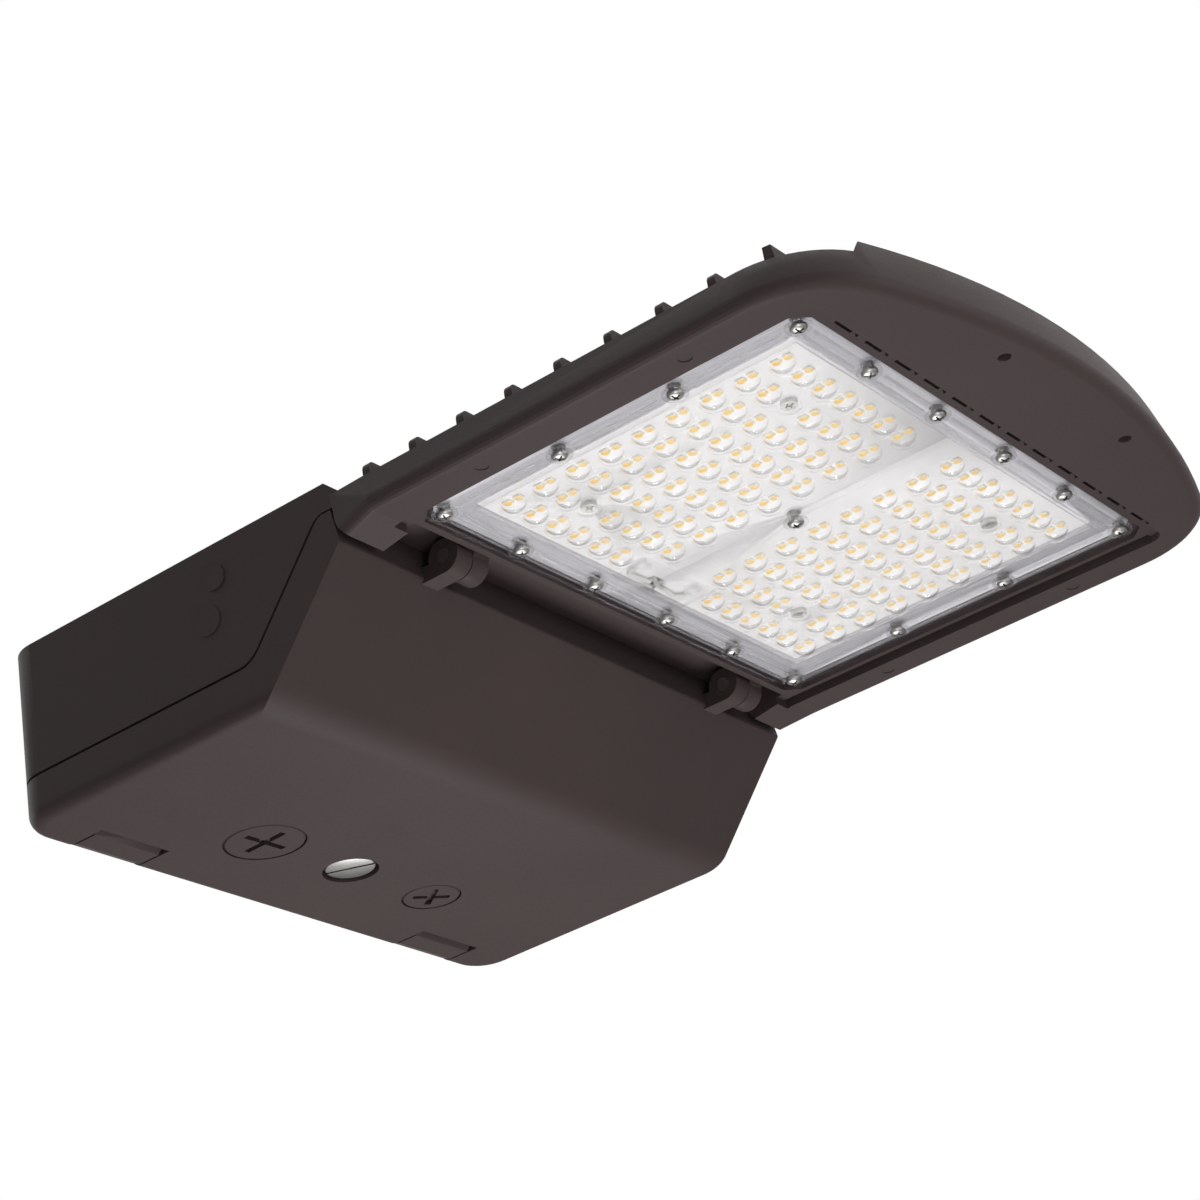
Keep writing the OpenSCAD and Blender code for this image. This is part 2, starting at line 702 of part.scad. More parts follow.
module underside_cuts() {
    frame_y = lens_w / 2 + lens_gap + lip_w;
    rim_y = frame_y + slot_w;
    rim_x = lens_end_x + lens_gap + lip_w + slot_w;
    // Hinge recess and the opening in the rim
    block(box_l - 0.5, recess_front_x, -recess_y(), recess_y(), floor_z, lip_z);
    translate([0, 0, floor_z])
        linear_extrude(frame_z - floor_z)
            rim_opening(recess_front_x - 2, rim_x, rim_y, 5);
    // Side channels and the vent slots in them, one between each pair of fins
    both_sides()
        block(recess_front_x - 2, rim_x - 5, frame_y, rim_y, floor_z, channel_z);
    both_sides()
        for (i = [0:fin_count - 2])
            block(first_fin_x + i * fin_pitch + fin_foot + 0.8, first_fin_x + (i + 1) * fin_pitch - 0.8,
                  frame_y, rim_y, floor_z, roof_h);
    // Vent slots along the tip side of the lens
    for (i = [0:tip_slots - 1]) {
        y0 = (i - tip_slots / 2) * tip_slot_pitch + 2.1;
        y1 = (i + 1 - tip_slots / 2) * tip_slot_pitch - 2.1;
        block(rim_x - tip_slot_w, rim_x, y0, y1, floor_z, roof_h);
        block(rim_x - cut, rim_x + tip_slot_cut, y0, y1, floor_z, rim_h + 3);
    }
    // Seat of the lens plate, groove of its gasket and seat of the boards
    translate([0, 0, floor_z])
        linear_extrude(seat_z - floor_z)
            lens_outline(lens_gap);
    translate([0, 0, floor_z])
        linear_extrude(groove_z - floor_z)
            lens_outline(-gasket_in);
    block(board_x - 0.5, board_end_x + 0.5, -board_half, board_half, floor_z, board_seat_z);
    // Holes for the screws of the lens and the boards
    for (p = lens_screw_places)
        upright(p.x, p.y, floor_z, base_h - 0.8, 1.5);
    for (p = board_screw_places)
        upright(p.x, p.y, floor_z, base_h - 0.8, 1.5);
    for (y = [-accessory_pitch / 2, accessory_pitch / 2])
        upright(tip_x - accessory_back, y, floor_z, rim_h + 10, accessory_r);
    // Small round marks left by the mould in the side strips
    both_sides()
        for (x = mark_places)
            upright(x, (rim_y + head_w / 2 - rim_r) / 2, floor_z, rim_h + 0.3, 2.3);
}

module housing() {
    color("#453E3B")
    difference() {
        union() {
            difference() {
                head_form();
                // Field of the fins, lower than the closed cap at the tip
                block(cheek_x - cut, cap_x, -head_w, head_w, side_h, roof_h + cut);
                intersection() {
                    translate([0, 0, base_h])
                        linear_extrude(roof_h)
                            head_plan(7, box_l);
                    block(box_l, cap_x, -head_w, head_w, base_h, 2 * roof_h);
                }
            }
            difference() {
                both_sides()
                    cheek();
                block(box_l + roof_bevel, cheek_x + cut, -head_w / 2 + 7, head_w / 2 - 7, base_h, roof_h);
                cheek_clearance();
            }
            box_shell();
            fins();
            lead_duct();
            for (y = [-notch_y, notch_y])
                translate([0, y, 0])
                    tongue();
            // Pad inside the rear wall, and the post that takes the door screw
            block(0, rear_pad, -bolt_pitch / 2 - 14, bolt_pitch / 2 + 14, -14, 14);
            upright(plug_x + 1, 0, post_z, cavity_top + 0.5, 6.5);
            // Two round marks on the left side of the box
            side_disc(0.66, 11.4, 4.4, 0.6);
            side_disc(0.63, -2.2, 5.2, 0.4);
        }
        underside_cuts();
        // Hole for the DC leads: along the duct, then down to the boards
        translate([box_l - front_wall - cut, 0, duct_z])
            rotate([0, 90, 0])
                cylinder(h = duct_turn_x - box_l + front_wall + cut, r = lead_hole_r);
        upright(duct_turn_x, 0, board_seat_z - cut, duct_z + lead_hole_r + 0.8, lead_hole_r + 0.6);
        // Rear bolt holes and wire entry
        for (y = [-bolt_pitch / 2, bolt_pitch / 2])
            rear_hole(y, bolt_r);
        rear_hole(0, entry_r);
        // Slot in the post for the door screw
        upright(plug_x, 0, post_z - cut, post_z + 8, screw_r + 0.15);
        upright(plug_x + 2, 0, post_z - cut, post_z + 8, screw_r + 0.15);
        block(plug_x, plug_x + 2, -screw_r - 0.15, screw_r + 0.15, post_z - cut, post_z + 8);
        // Blind holes for the screws of the driver and the ground screw
        for (p = driver_screw_places)
            upright(p.x, p.y, cavity_top - cut, cavity_top + 2, 1.5);
        upright(ground_x, ground_y, cavity_top - cut, cavity_top + 2, 1.7);
    }
    color("#453E3B")
    difference() {
        union() {
            hinge_eye(hinge_left_y);
            hinge_eye(hinge_right_y);
        }
        pin_bore(pin_r);
    }
}

module side_disc(along_share, z, r, rise) {
    translate([box_l * along_share, -box_w / 2 + 1, z])
        rotate([90, 0, 0])
            cylinder(h = 1 + rise, r = r);
}

module rear_hole(y, r) {
    translate([-cut, y, 0])
        rotate([0, 90, 0])
            cylinder(h = rear_pad + 2 * cut, r = r);
}

// ---- Door fittings ----

module captive_screw() {
    color("#C9CACC")
    difference() {
        union() {
            upright(plug_x, 0, floor_z + head_sink, floor_z + head_seat, screw_head_r);
            upright(plug_x, 0, floor_z + head_seat, screw_tip_z, screw_r);
        }
        // Screwdriver slot, at an angle as it was left
        translate([plug_x, 0, floor_z + head_sink])
            rotate([0, 0, 62])
                cube([2 * screw_head_r + cut, 1.6, 2], center = true);
    }
}

module screw_retainer() {
    color("#5A5A5C")
    difference() {
        upright(plug_x, 0, retainer_z, retainer_z + retainer_t, 2 * screw_r);
        upright(plug_x, 0, retainer_z - cut, retainer_z + retainer_t + cut, screw_r + 0.05);
    }
}

// Plug with a crossed slot: head flush with the door, and a hollow threaded part
module plug(y, seat_r, turn, slot_l) {
    difference() {
        union() {
            upright(plug_x, y, floor_z, floor_z + plug_head, seat_r - 0.35);
            upright(plug_x, y, floor_z + plug_head, floor_z + plug_head + plug_thread, thread_r(seat_r));
        }
        upright(plug_x, y, floor_z + plug_head, floor_z + plug_head + plug_thread + cut, thread_r(seat_r) - 2.2);
        translate([plug_x, y, floor_z])
            rotate([0, 0, turn])
                for (a = [0, 90])
                    rotate([0, 0, a])
                        cube([slot_l, 2.4, 3.2], center = true);
    }
}

module plug_seal(y, seat_r) {
    difference() {
        upright(plug_x, y, floor_z + plug_head, floor_z + plug_head + 1.2, seat_r - 0.6);
        upright(plug_x, y, floor_z, floor_z + plug_head + 2, thread_r(seat_r) + 0.1);
    }
}

module large_plug() {
    color("#453E3B")
        plug(-plug_y, large_r, 45, large_r * 1.25);
}

module large_plug_seal() {
    color("#202020")
        plug_seal(-plug_y, large_r);
}

module small_plug() {
    color("#453E3B")
        plug(plug_y, small_r, 0, small_r * 1.25);
}

module small_plug_seal() {
    color("#202020")
        plug_seal(plug_y, small_r);
}

// ---- Light source and lens ----

// Places of the domes of one bank on the side s, leaving out the board's screws and connector
function bank(s) =
    [for (i = [-4:4]) for (j = [0:6])
        if (!(abs(i) == 3 && j == 4) && !(i == -4 && j == 0))
            [lens_mid_x + i * dome_pitch_x, s * (bank_y + j * dome_pitch_y)]];

module led_board(s) {
    board_low = s > 0 ? board_gap / 2 : -board_half + 0.5;
    board_high = s > 0 ? board_half - 0.5 : -board_gap / 2;
    color("#F1F1EE")
    difference() {
        union() {
            block(board_x, board_end_x, board_low, board_high, board_seat_z - board_t, board_seat_z);
            // Connector of the DC leads
            translate([lens_mid_x - 4 * dome_pitch_x, s * bank_y, board_seat_z - board_t - 0.6])
                cube([5, 4.4, 1.2], center = true);
        }
        for (p = board_screw_places)
            upright(p.x, p.y, 0, roof_h, 1.8);
        // Middle lens screw and the way of the leads, between the two boards
        upright(lens_mid_x, 0, 0, roof_h, 2.4);
        block(duct_turn_x - 3, duct_turn_x + 3, -3.9, 3.9, 0, roof_h);
    }
}

module led_board_left() {
    led_board(-1);
}

module led_board_right() {
    led_board(1);
}

// Two chips side by side along the head under each dome
module led_chips(s) {
    top = board_seat_z - board_t;
    color("#F4C95D")
        for (p = bank(s))
            for (side = [-1, 1])
                block(p.x + side * 2.1 - chip / 2, p.x + side * 2.1 + chip / 2,
                      p.y - chip / 2, p.y + chip / 2, top - chip_h, top);
}

module led_chips_left() {
    led_chips(-1);
}

module led_chips_right() {
    led_chips(1);
}

module board_screws() {
    color("#C9CACC")
        for (p = board_screw_places)
            pan_screw(p.x, p.y, board_seat_z - board_t, 2.8, 1.4, 1.45, board_t + 2.6);
}

// Flat gasket under the whole flange of the lens plate
module lens_gasket() {
    color("#E4E4E0")
    difference() {
        translate([0, 0, seat_z])
            linear_extrude(groove_z - seat_z - 0.1)
                lens_outline(-gasket_in - 0.2);
        block(board_x - 0.6, board_end_x + 0.6, -board_half - 0.1, board_half + 0.1, seat_z - cut, groove_z);
        for (p = lens_screw_places)
            upright(p.x, p.y, seat_z - cut, groove_z, 2.2);
    }
}

// Lens plate: flange with a bead, a thinner field inside it, and a dome under each pair of chips
module lens_plate() {
    sphere_r = (pow(dome_foot_r, 2) + pow(dome_h, 2)) / (2 * dome_h);
    color([0.86, 0.89, 0.91, 0.45])
    difference() {
        union() {
            translate([0, 0, lens_z])
                linear_extrude(lens_t)
                    lens_outline(0);
            // Bead along the edge of the field
            difference() {
                block(board_x - 3, board_end_x + 3, -board_half - 2.5, board_half + 2.5, lens_z - 0.8, lens_z + cut);
                block(board_x - 1.8, board_end_x + 1.8, -board_half - 1.3, board_half + 1.3,
                      lens_z - cut, lens_z + cut);
            }
            for (p = concat(bank(-1), bank(1)))
                intersection() {
                    translate([p.x, p.y, lens_z - dome_h + sphere_r])
                        sphere(sphere_r);
                    upright(p.x, p.y, lens_z - dome_h - cut, lens_z + 0.5, dome_foot_r + 1);
                }
        }
        // Inner field over the boards, deeper over the wiring and the board screws
        block(board_x - 0.5, board_end_x + 0.5, -board_half, board_half, field_z, seat_z + cut);
        block(board_x, lens_mid_x - 3.55 * dome_pitch_x, -bank_y - 4.6, bank_y + 4.6, wiring_z, seat_z + cut);
        for (p = concat(bank(-1), bank(1)))
            translate([p.x, p.y, lens_z - dome_h + sphere_r])
                sphere(sphere_r - dome_wall);
        for (p = board_screw_places)
            upright(p.x, p.y, wiring_z, seat_z + cut, 4);
        for (p = lens_screw_places)
            upright(p.x, p.y, lens_z - 2 * cut, seat_z + cut, 2);
    }
}

module lens_screws() {
    color("#C9CACC")
        for (p = lens_screw_places)
            pan_screw(p.x, p.y, lens_z, lens_screw_r, 2, 1.45, base_h - lens_z - 1);
}

// ---- Inside the box ----

module driver() {
    color("#B9BDC1")
    difference() {
        union() {
            block(driver_x, driver_x + driver_w, driver_left_y, driver_right_y,
                  cavity_top - driver_h, cavity_top);
            block(driver_x + driver_w / 2 - 8, driver_x + driver_w / 2 + 8,
                  driver_left_y - driver_tab, driver_right_y + driver_tab, cavity_top - 1.5, cavity_top);
        }
        for (p = driver_screw_places)
            upright(p.x, p.y, cavity_top - 2, cavity_top + cut, 2);
    }
}

module driver_screws() {
    color("#C9CACC")
        for (p = driver_screw_places)
            pan_screw(p.x, p.y, cavity_top - 1.5, 3.6, 2.2, 1.45, 3);
}

module surge_protector() {
    color("#2F3437")
        block(surge_x, surge_x + surge_l, surge_y, surge_y + surge_w, cavity_top - surge_h, cavity_top);
}

// Level of the leads in the terminal block
lead_z = cavity_top - terminal_h * 0.56;

function pole_y(i) = block_y + block_l * (i + 0.5) / 3;

module terminal_block() {
    low = cavity_top - terminal_h;
    color("#E8E4D8")
    difference() {
        block(block_x, block_x + block_w, block_y, block_y + block_l, low, cavity_top);
        // Entries of the field wires on the rear face, and the wire screws below
        for (i = [0:2])
            translate([block_x - cut, pole_y(i), lead_z])
                rotate([0, 90, 0])
                    cylinder(h = block_w * 0.4, r = 2.4);
        for (i = [0:2])
            upright(block_x + block_w / 2, pole_y(i), low - cut, low + terminal_h * 0.19, 2);
    }
}

// Leads from the terminal block to the driver, one for each pole
module ac_leads() {
    color("#1E1E1E")
        for (i = [0:2])
            translate([block_x + block_w, pole_y(i), lead_z])
                rotate([0, 90, 0])
                    cylinder(h = driver_x - block_x - block_w, r = ac_lead_r);
}

// Two leads from the driver through the duct down to the boards' connectors
module dc_leads() {
    low = board_seat_z - board_t - dc_lead_r - 0.1;
    bend = 3;
    side = dc_lead_r + 0.1;
    plug_end_x = lens_mid_x - 4 * dome_pitch_x - 2.5;
    color("#DCDCD6")
        for (s = [-1, 1])
            wire(concat([[driver_x + driver_w, s * side, duct_z]],
                        [for (a = [90:-30:0])
                            [duct_turn_x + bend * (cos(a) - 1), s * side, duct_z + bend * (sin(a) - 1)]],
                        [for (a = [0:30:90])
                            [duct_turn_x, s * (side + bend * (1 - cos(a))), low + bend * (1 - sin(a))]],
                        [[plug_end_x - 4, s * bank_y - s * 1.5, low],
                         [plug_end_x - 2, s * bank_y, low],
                         [plug_end_x, s * bank_y, low]]), dc_lead_r);
}

module lead_grommet() {
    color("#202020")
    translate([box_l - front_wall, 0, duct_z])
        rotate([0, 90, 0])
            difference() {
                union() {
                    cylinder(h = front_wall - cut, r = lead_hole_r);
                    translate([0, 0, -1.2])
                        cylinder(h = 1.2, r = lead_hole_r + 0.5);
                }
                translate([0, 0, -2])
                    cylinder(h = 10, r = 2 * dc_lead_r + 0.2);
            }
}

module ground_screw() {
    color("#3F8F4A")
        pan_screw(ground_x, ground_y, cavity_top, 4.4, 3, 1.65, 1.9);
}

housing();
door();
door_gasket();
hinge_pins();
captive_screw();
screw_retainer();
large_plug();
large_plug_seal();
small_plug();
small_plug_seal();
led_board_left();
led_board_right();
led_chips_left();
led_chips_right();
board_screws();
lens_plate();
lens_gasket();
lens_screws();
driver();
driver_screws();
surge_protector();
terminal_block();
ac_leads();
dc_leads();
lead_grommet();
ground_screw();
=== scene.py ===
"""Shoebox area light: finishes, moulded and electrical details, stage and camera.

The cast housing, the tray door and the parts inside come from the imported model. This file adds what
the castings don't hold: screw bosses and ridges on the lens plate, phosphor on the LEDs, threads,
driver and terminal details, then the surface of each material.
"""

import math

import bmesh
import bpy
from mathutils import Matrix, Vector


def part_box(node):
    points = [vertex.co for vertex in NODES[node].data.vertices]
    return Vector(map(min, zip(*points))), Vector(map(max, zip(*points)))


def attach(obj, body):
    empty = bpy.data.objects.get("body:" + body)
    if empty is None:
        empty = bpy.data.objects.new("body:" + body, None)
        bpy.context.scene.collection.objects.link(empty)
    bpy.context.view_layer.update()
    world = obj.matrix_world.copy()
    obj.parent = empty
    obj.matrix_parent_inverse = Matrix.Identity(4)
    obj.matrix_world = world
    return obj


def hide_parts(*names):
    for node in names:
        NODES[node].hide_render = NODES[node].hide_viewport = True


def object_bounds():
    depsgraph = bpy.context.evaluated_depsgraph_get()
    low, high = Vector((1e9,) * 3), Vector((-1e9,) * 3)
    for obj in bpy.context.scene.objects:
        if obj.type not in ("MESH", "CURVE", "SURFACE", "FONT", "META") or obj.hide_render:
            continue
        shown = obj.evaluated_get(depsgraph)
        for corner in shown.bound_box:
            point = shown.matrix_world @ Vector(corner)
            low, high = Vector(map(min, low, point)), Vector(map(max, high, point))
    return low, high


bl_info = {
    "name": "Shoebox Area Light",
    "version": (1, 0, 0),
    "blender": (4, 5, 0),
    "location": "View3D > Sidebar > Area Light",
    "description": "Finishes and details for an LED shoebox area light",
    "category": "Object",
}

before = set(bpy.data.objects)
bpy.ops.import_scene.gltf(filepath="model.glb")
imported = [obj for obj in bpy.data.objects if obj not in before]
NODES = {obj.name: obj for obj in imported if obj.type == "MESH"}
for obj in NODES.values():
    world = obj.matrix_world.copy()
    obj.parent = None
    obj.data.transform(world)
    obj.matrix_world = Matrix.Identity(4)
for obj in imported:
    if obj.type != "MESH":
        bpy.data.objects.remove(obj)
CAD_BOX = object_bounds()
MM = 0.001

LENS_LOW, LENS_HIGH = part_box("lens_plate")
DRIVER_LOW, DRIVER_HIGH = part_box("driver")
BLOCK_LOW, BLOCK_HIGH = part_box("terminal_block")

# Sizes that the pieces share with the solids
DOME_HEIGHT = 2.5 * MM
BOARD_GAP = 1.0 * MM
PLUG_HEAD = 3.0 * MM
PLUG_WALL = 2.2 * MM
SEAT_GAP = 0.35 * MM
THREAD_SHARE = 0.8
CROSS_SHARE = 0.625
CROSS_HALF = 1.2 * MM
SCREW_RADIUS = 2.5 * MM
SCREW_HEAD = 2.0 * MM
SHANK_RADIUS = 1.45 * MM
DRIVER_TAB = 10.0 * MM

# Turn of each slot about its own axis as the photograph shows it, in degrees
PLUG_TURNS = {"large_plug": -2, "small_plug": 54}
SCREW_TURN = 27

# Points of a solid's mesh that lie closer than this are one
WELD_GAP = 0.002 * MM

RIDGE_TAPER = 0.8 * MM
FLOOR_SIZE = 12.0
FLOOR_DROP = 0.75
STEEL = "StainlessSteel_ColdHeaded"
COAT = "PolyesterPowderCoat_DieCastAluminium_DarkBronze"


# ---- Colour, nodes and meshes ----


def linear(hex_colour):
    """An sRGB hex colour as linear red, green, blue and alpha."""
    parts = [int(hex_colour[i : i + 2], 16) / 255 for i in (1, 3, 5)]
    return [c / 12.92 if c <= 0.04045 else ((c + 0.055) / 1.055) ** 2.4 for c in parts] + [1.0]


def shade(hex_colour, share):
    """An sRGB hex colour as a linear one, made darker or lighter by a share."""
    return [min(1, c * share) for c in linear(hex_colour)[:3]] + [1]


def add_node(tree, kind, values=None, links=None, **settings):
    """Adds a node, sets its properties and socket values, and links outputs into its sockets."""
    node = tree.nodes.new(kind)
    for name, value in settings.items():
        setattr(node, name, value)
    for socket, value in (values or {}).items():
        node.inputs[socket].default_value = value
    for socket, output in (links or {}).items():
        tree.links.new(output, node.inputs[socket])
    return node


def new_material(name):
    """An empty material and its node tree, with an output."""
    material = bpy.data.materials.new(name)
    material.use_nodes = True
    material.node_tree.nodes.clear()
    return material, material.node_tree


def finish_surface(tree, surface):
    """Links a shader to the material's output."""
    add_node(tree, "ShaderNodeOutputMaterial", links={"Surface": surface})


def new_piece(name, bm, materials, body="housing", replaces=None):
    """Makes an object of a bmesh in metres, lets it ride on a body, and hides the node it stands
    for."""
    mesh = bpy.data.meshes.new(name)
    bmesh.ops.recalc_face_normals(bm, faces=bm.faces)
    bm.to_mesh(mesh)
    bm.free()
    piece = bpy.data.objects.new(name, mesh)
    bpy.context.scene.collection.objects.link(piece)
    for material in materials:
        mesh.materials.append(material)
    mesh.polygons.foreach_set("use_smooth", [True] * len(mesh.polygons))
    mesh.set_sharp_from_angle(angle=math.radians(40))
    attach(piece, body)
    if replaces:
        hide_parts(replaces)
    return piece


def join_rings(bm, rings):
    """Faces between rings of the same number of points, one of which may be a single point."""
    for low, high in zip(rings, rings[1:]):
        sides = max(len(low), len(high))
        for i in range(sides):
            j = (i + 1) % sides
            below = [low[i % len(low)], low[j % len(low)]]
            above = [high[j % len(high)], high[i % len(high)]]
            unique = list(dict.fromkeys(below + above))
            if len(unique) > 2:
                bm.faces.new(unique)


def ring(bm, place, radius, height, sides):
    """Points of one circle about the axis of place, or its middle where the radius is nought."""
    if radius < 1e-7:
        return [bm.verts.new(place @ Vector((0, 0, height)))]
    points = []
    for i in range(sides):
        turn = 2 * math.pi * i / sides
        spot = Vector((radius * math.cos(turn), radius * math.sin(turn), height))
        points.append(bm.verts.new(place @ spot))
    return points


def lathe(bm, profile, place, sides=32):
    """Turns (radius, height) points about the axis of place, closed where they meet it."""
    join_rings(bm, [ring(bm, place, radius, height, sides) for radius, height in profile])


def threaded(bm, place, low, high, radius, depth, pitch, bore=0.0, sides=32, steps=6):
    """A right-handed thread from low to high along the axis of place, with its crests at radius and
    its roots depth further in, solid or open round a bore."""
    rows = round((high - low) / pitch * steps)
    rings = []
    for k in range(rows + 1):
        height = low + (high - low) * k / rows
        points = []
        for i in range(sides):
            wave = (height / pitch - i / sides) % 1.0
            reach = radius - depth * abs(2 * wave - 1)
            turn = 2 * math.pi * i / sides
            spot = Vector((reach * math.cos(turn), reach * math.sin(turn), height))
            points.append(bm.verts.new(place @ spot))
        rings.append(points)
    ends = [ring(bm, place, bore, height, sides) for height in (low, high)]
    join_rings(bm, [ends[0]] + rings + [ends[1]])
    if bore:
        join_rings(bm, [ends[1], ends[0]])


def prism(bm, outline, low, high, place=Matrix()):
    """A closed prism over a closed outline of (x, y) points, moved by place."""
    ends = [
        [bm.verts.new(place @ Vector((x, y, height))) for x, y in outline]
        for height in (low, high)
    ]
    bm.faces.new(ends[0][::-1])
    bm.faces.new(ends[1])
    for i in range(len(outline)):
        j = (i + 1) % len(outline)
        bm.faces.new((ends[0][i], ends[0][j], ends[1][j], ends[1][i]))


def oblong(half_x, half_y):
    """The four corners of a rectangle about nought."""
    return [(-half_x, -half_y), (half_x, -half_y), (half_x, half_y), (-half_x, half_y)]


def cross(arm, half):
    """The outline of two crossed slots of length 2 arm and width 2 half."""
    quarter = [(arm, -half), (arm, half), (half, half)]
    points = []
    for _ in range(4):
        points += quarter
        quarter = [(-y, x) for x, y in quarter]
    return points


def carved(bm, cutter):
    """One closed bmesh less another, as a new bmesh."""
    pair = []
    for shape in (bm, cutter):
        bmesh.ops.recalc_face_normals(shape, faces=shape.faces)
        mesh = bpy.data.meshes.new("carving")
        shape.to_mesh(mesh)
        shape.free()
        thing = bpy.data.objects.new("carving", mesh)
        bpy.context.scene.collection.objects.link(thing)
        pair.append(thing)
    cut = pair[0].modifiers.new("Cut", "BOOLEAN")
    cut.operation = "DIFFERENCE"
    cut.solver = "EXACT"
    cut.object = pair[1]
    evaluated = pair[0].evaluated_get(bpy.context.evaluated_depsgraph_get())
    mesh = bpy.data.meshes.new_from_object(evaluated)
    result = bmesh.new()
    result.from_mesh(mesh)
    for thing in pair:
        bpy.data.objects.remove(thing)
    if not result.faces:
        raise RuntimeError("a carving came out empty")
    return result


def bar(bm, start, end, half_width, height, taper, rows=6):
    """A low rounded ridge from start to end that stands down from the lens face by height, and
    falls to a quarter of it over the taper at each end."""
    way = (end - start).normalized()
    side = Vector((-way.y, way.x, 0))
    arcs = []
    for along, scale in (
        (start, 0.25),
        (start + way * taper, 1.0),
        (end - way * taper, 1.0),
        (end, 0.25),
    ):
        arc = []
        for k in range(rows + 1):
            turn = math.pi * k / rows
            drop = Vector((0, 0, height * scale * math.sin(turn)))
            arc.append(bm.verts.new(along + side * half_width * math.cos(turn) - drop))
        arcs.append(arc)
    for a, b in zip(arcs, arcs[1:]):
        for k in range(rows):
            bm.faces.new((a[k], a[k + 1], b[k + 1], b[k]))
        bm.faces.new((a[rows], a[0], b[0], b[rows]))
    bm.faces.new(arcs[0][::-1])
    bm.faces.new(arcs[-1])


def dress(material, *names):
    """Gives CAD nodes their material."""
    for name in names:
        slots = NODES[name].data.materials
        slots.clear()
        slots.append(material)


def soften(width, *things):
    """Breaks the sharp edges of CAD nodes, given by name, or of pieces, as those of a casting or a
    moulding are."""
    for thing in things:
        node = NODES[thing] if isinstance(thing, str) else thing
        weld = node.modifiers.new("Weld", "WELD")
        weld.merge_threshold = WELD_GAP
        edge = node.modifiers.new("Edge", "BEVEL")
        edge.width = width
        edge.segments = 2
        edge.limit_method = "ANGLE"
        edge.angle_limit = math.radians(35)
        edge.use_clamp_overlap = True
        edge.harden_normals = True


def even_normals(piece):
    """Keeps the shading of a piece's flats even up to their rounded edges."""
    even = piece.modifiers.new("Even", "WEIGHTED_NORMAL")
    even.mode = "FACE_AREA"
    even.weight = 100
    even.keep_sharp = True


# ---- Materials ----


def powder_coat(colour):
    """Polyester powder coat, dark bronze, baked on die-cast aluminium: a low sheen with a fine
    orange peel of about 0.8 mm and a slow change of tone over a hand's width."""
    material, tree = new_material(COAT)
    place = add_node(tree, "ShaderNodeTexCoord")
    cloud = add_node(
        tree,
        "ShaderNodeTexNoise",
        values={"Scale": 1 / (90 * MM), "Detail": 3.0},
        links={"Vector": place.outputs["Object"]},
    )
    speck = add_node(
        tree,
        "ShaderNodeTexNoise",
        values={"Scale": 1 / (0.8 * MM), "Detail": 2.0, "Roughness": 0.55},
        links={"Vector": place.outputs["Object"]},
    )
    tone = add_node(tree, "ShaderNodeValToRGB", links={"Fac": cloud.outputs["Fac"]})
    dark, light = tone.color_ramp.elements
    dark.position, dark.color = 0.3, shade(colour, 0.93)
    light.position, light.color = 0.7, shade(colour, 1.05)
    rough = add_node(
        tree,
        "ShaderNodeMapRange",
        values={"From Min": 0.3, "From Max": 0.7, "To Min": 0.5, "To Max": 0.6},
        links={"Value": speck.outputs["Fac"]},
    )
    peel = add_node(
        tree,
        "ShaderNodeBump",
        values={"Strength": 0.22, "Distance": 0.05 * MM},
        links={"Height": speck.outputs["Fac"]},
    )
    shell = add_node(
        tree,
        "ShaderNodeBsdfPrincipled",
        values={"IOR": 1.5, "Specular IOR Level": 0.16},
        links={
            "Base Color": tone.outputs["Color"],
            "Roughness": rough.outputs["Result"],
            "Normal": peel.outputs["Normal"],
        },
    )
    finish_surface(tree, shell.outputs["BSDF"])
    return material


def clear_moulding(tint):
    """Polycarbonate, injection moulded, clear: a polished skin over walls so thin and even that
    light goes nearly straight through face on. The share that is bent grows towards a grazing
    angle, and draws the outlines of the domes and ridges."""
    material, tree = new_material("Polycarbonate_Moulded_Clear")
    place = add_node(tree, "ShaderNodeTexCoord")
    flow = add_node(
        tree,
        "ShaderNodeTexNoise",
        values={"Scale": 1 / (14 * MM), "Detail": 1.0},
        links={"Vector": place.outputs["Object"]},
    )
    ripple = add_node(
        tree,
        "ShaderNodeBump",
        values={"Strength": 0.12, "Distance": 0.2 * MM},
        links={"Height": flow.outputs["Fac"]},
    )
    bent = add_node(
        tree,
        "ShaderNodeBsdfPrincipled",
        values={
            "Base Color": linear(tint),
            "Roughness": 0.05,
            "IOR": 1.58,
            "Transmission Weight": 1.0,
        },
        links={"Normal": ripple.outputs["Normal"]},
    )
    clear_colour = linear("#FDFDFD")
    straight = add_node(tree, "ShaderNodeBsdfTransparent", values={"Color": clear_colour})
    slant = add_node(tree, "ShaderNodeLayerWeight", values={"Blend": 0.5})
    share = add_node(
        tree,
        "ShaderNodeMapRange",
        values={"From Min": 0.35, "From Max": 1.0, "To Min": 0.08, "To Max": 0.6},
        links={"Value": slant.outputs["Facing"]},
    )
    skin = add_node(
        tree,
        "ShaderNodeMixShader",
        links={
            0: share.outputs["Result"],
            1: straight.outputs["BSDF"],
            2: bent.outputs["BSDF"],
        },
    )
    ray = add_node(tree, "ShaderNodeLightPath")
    mix = add_node(
        tree,
        "ShaderNodeMixShader",
        links={
            0: ray.outputs["Is Shadow Ray"],
            1: skin.outputs["Shader"],
            2: straight.outputs["BSDF"],
        },
    )
    finish_surface(tree, mix.outputs["Shader"])
    return material


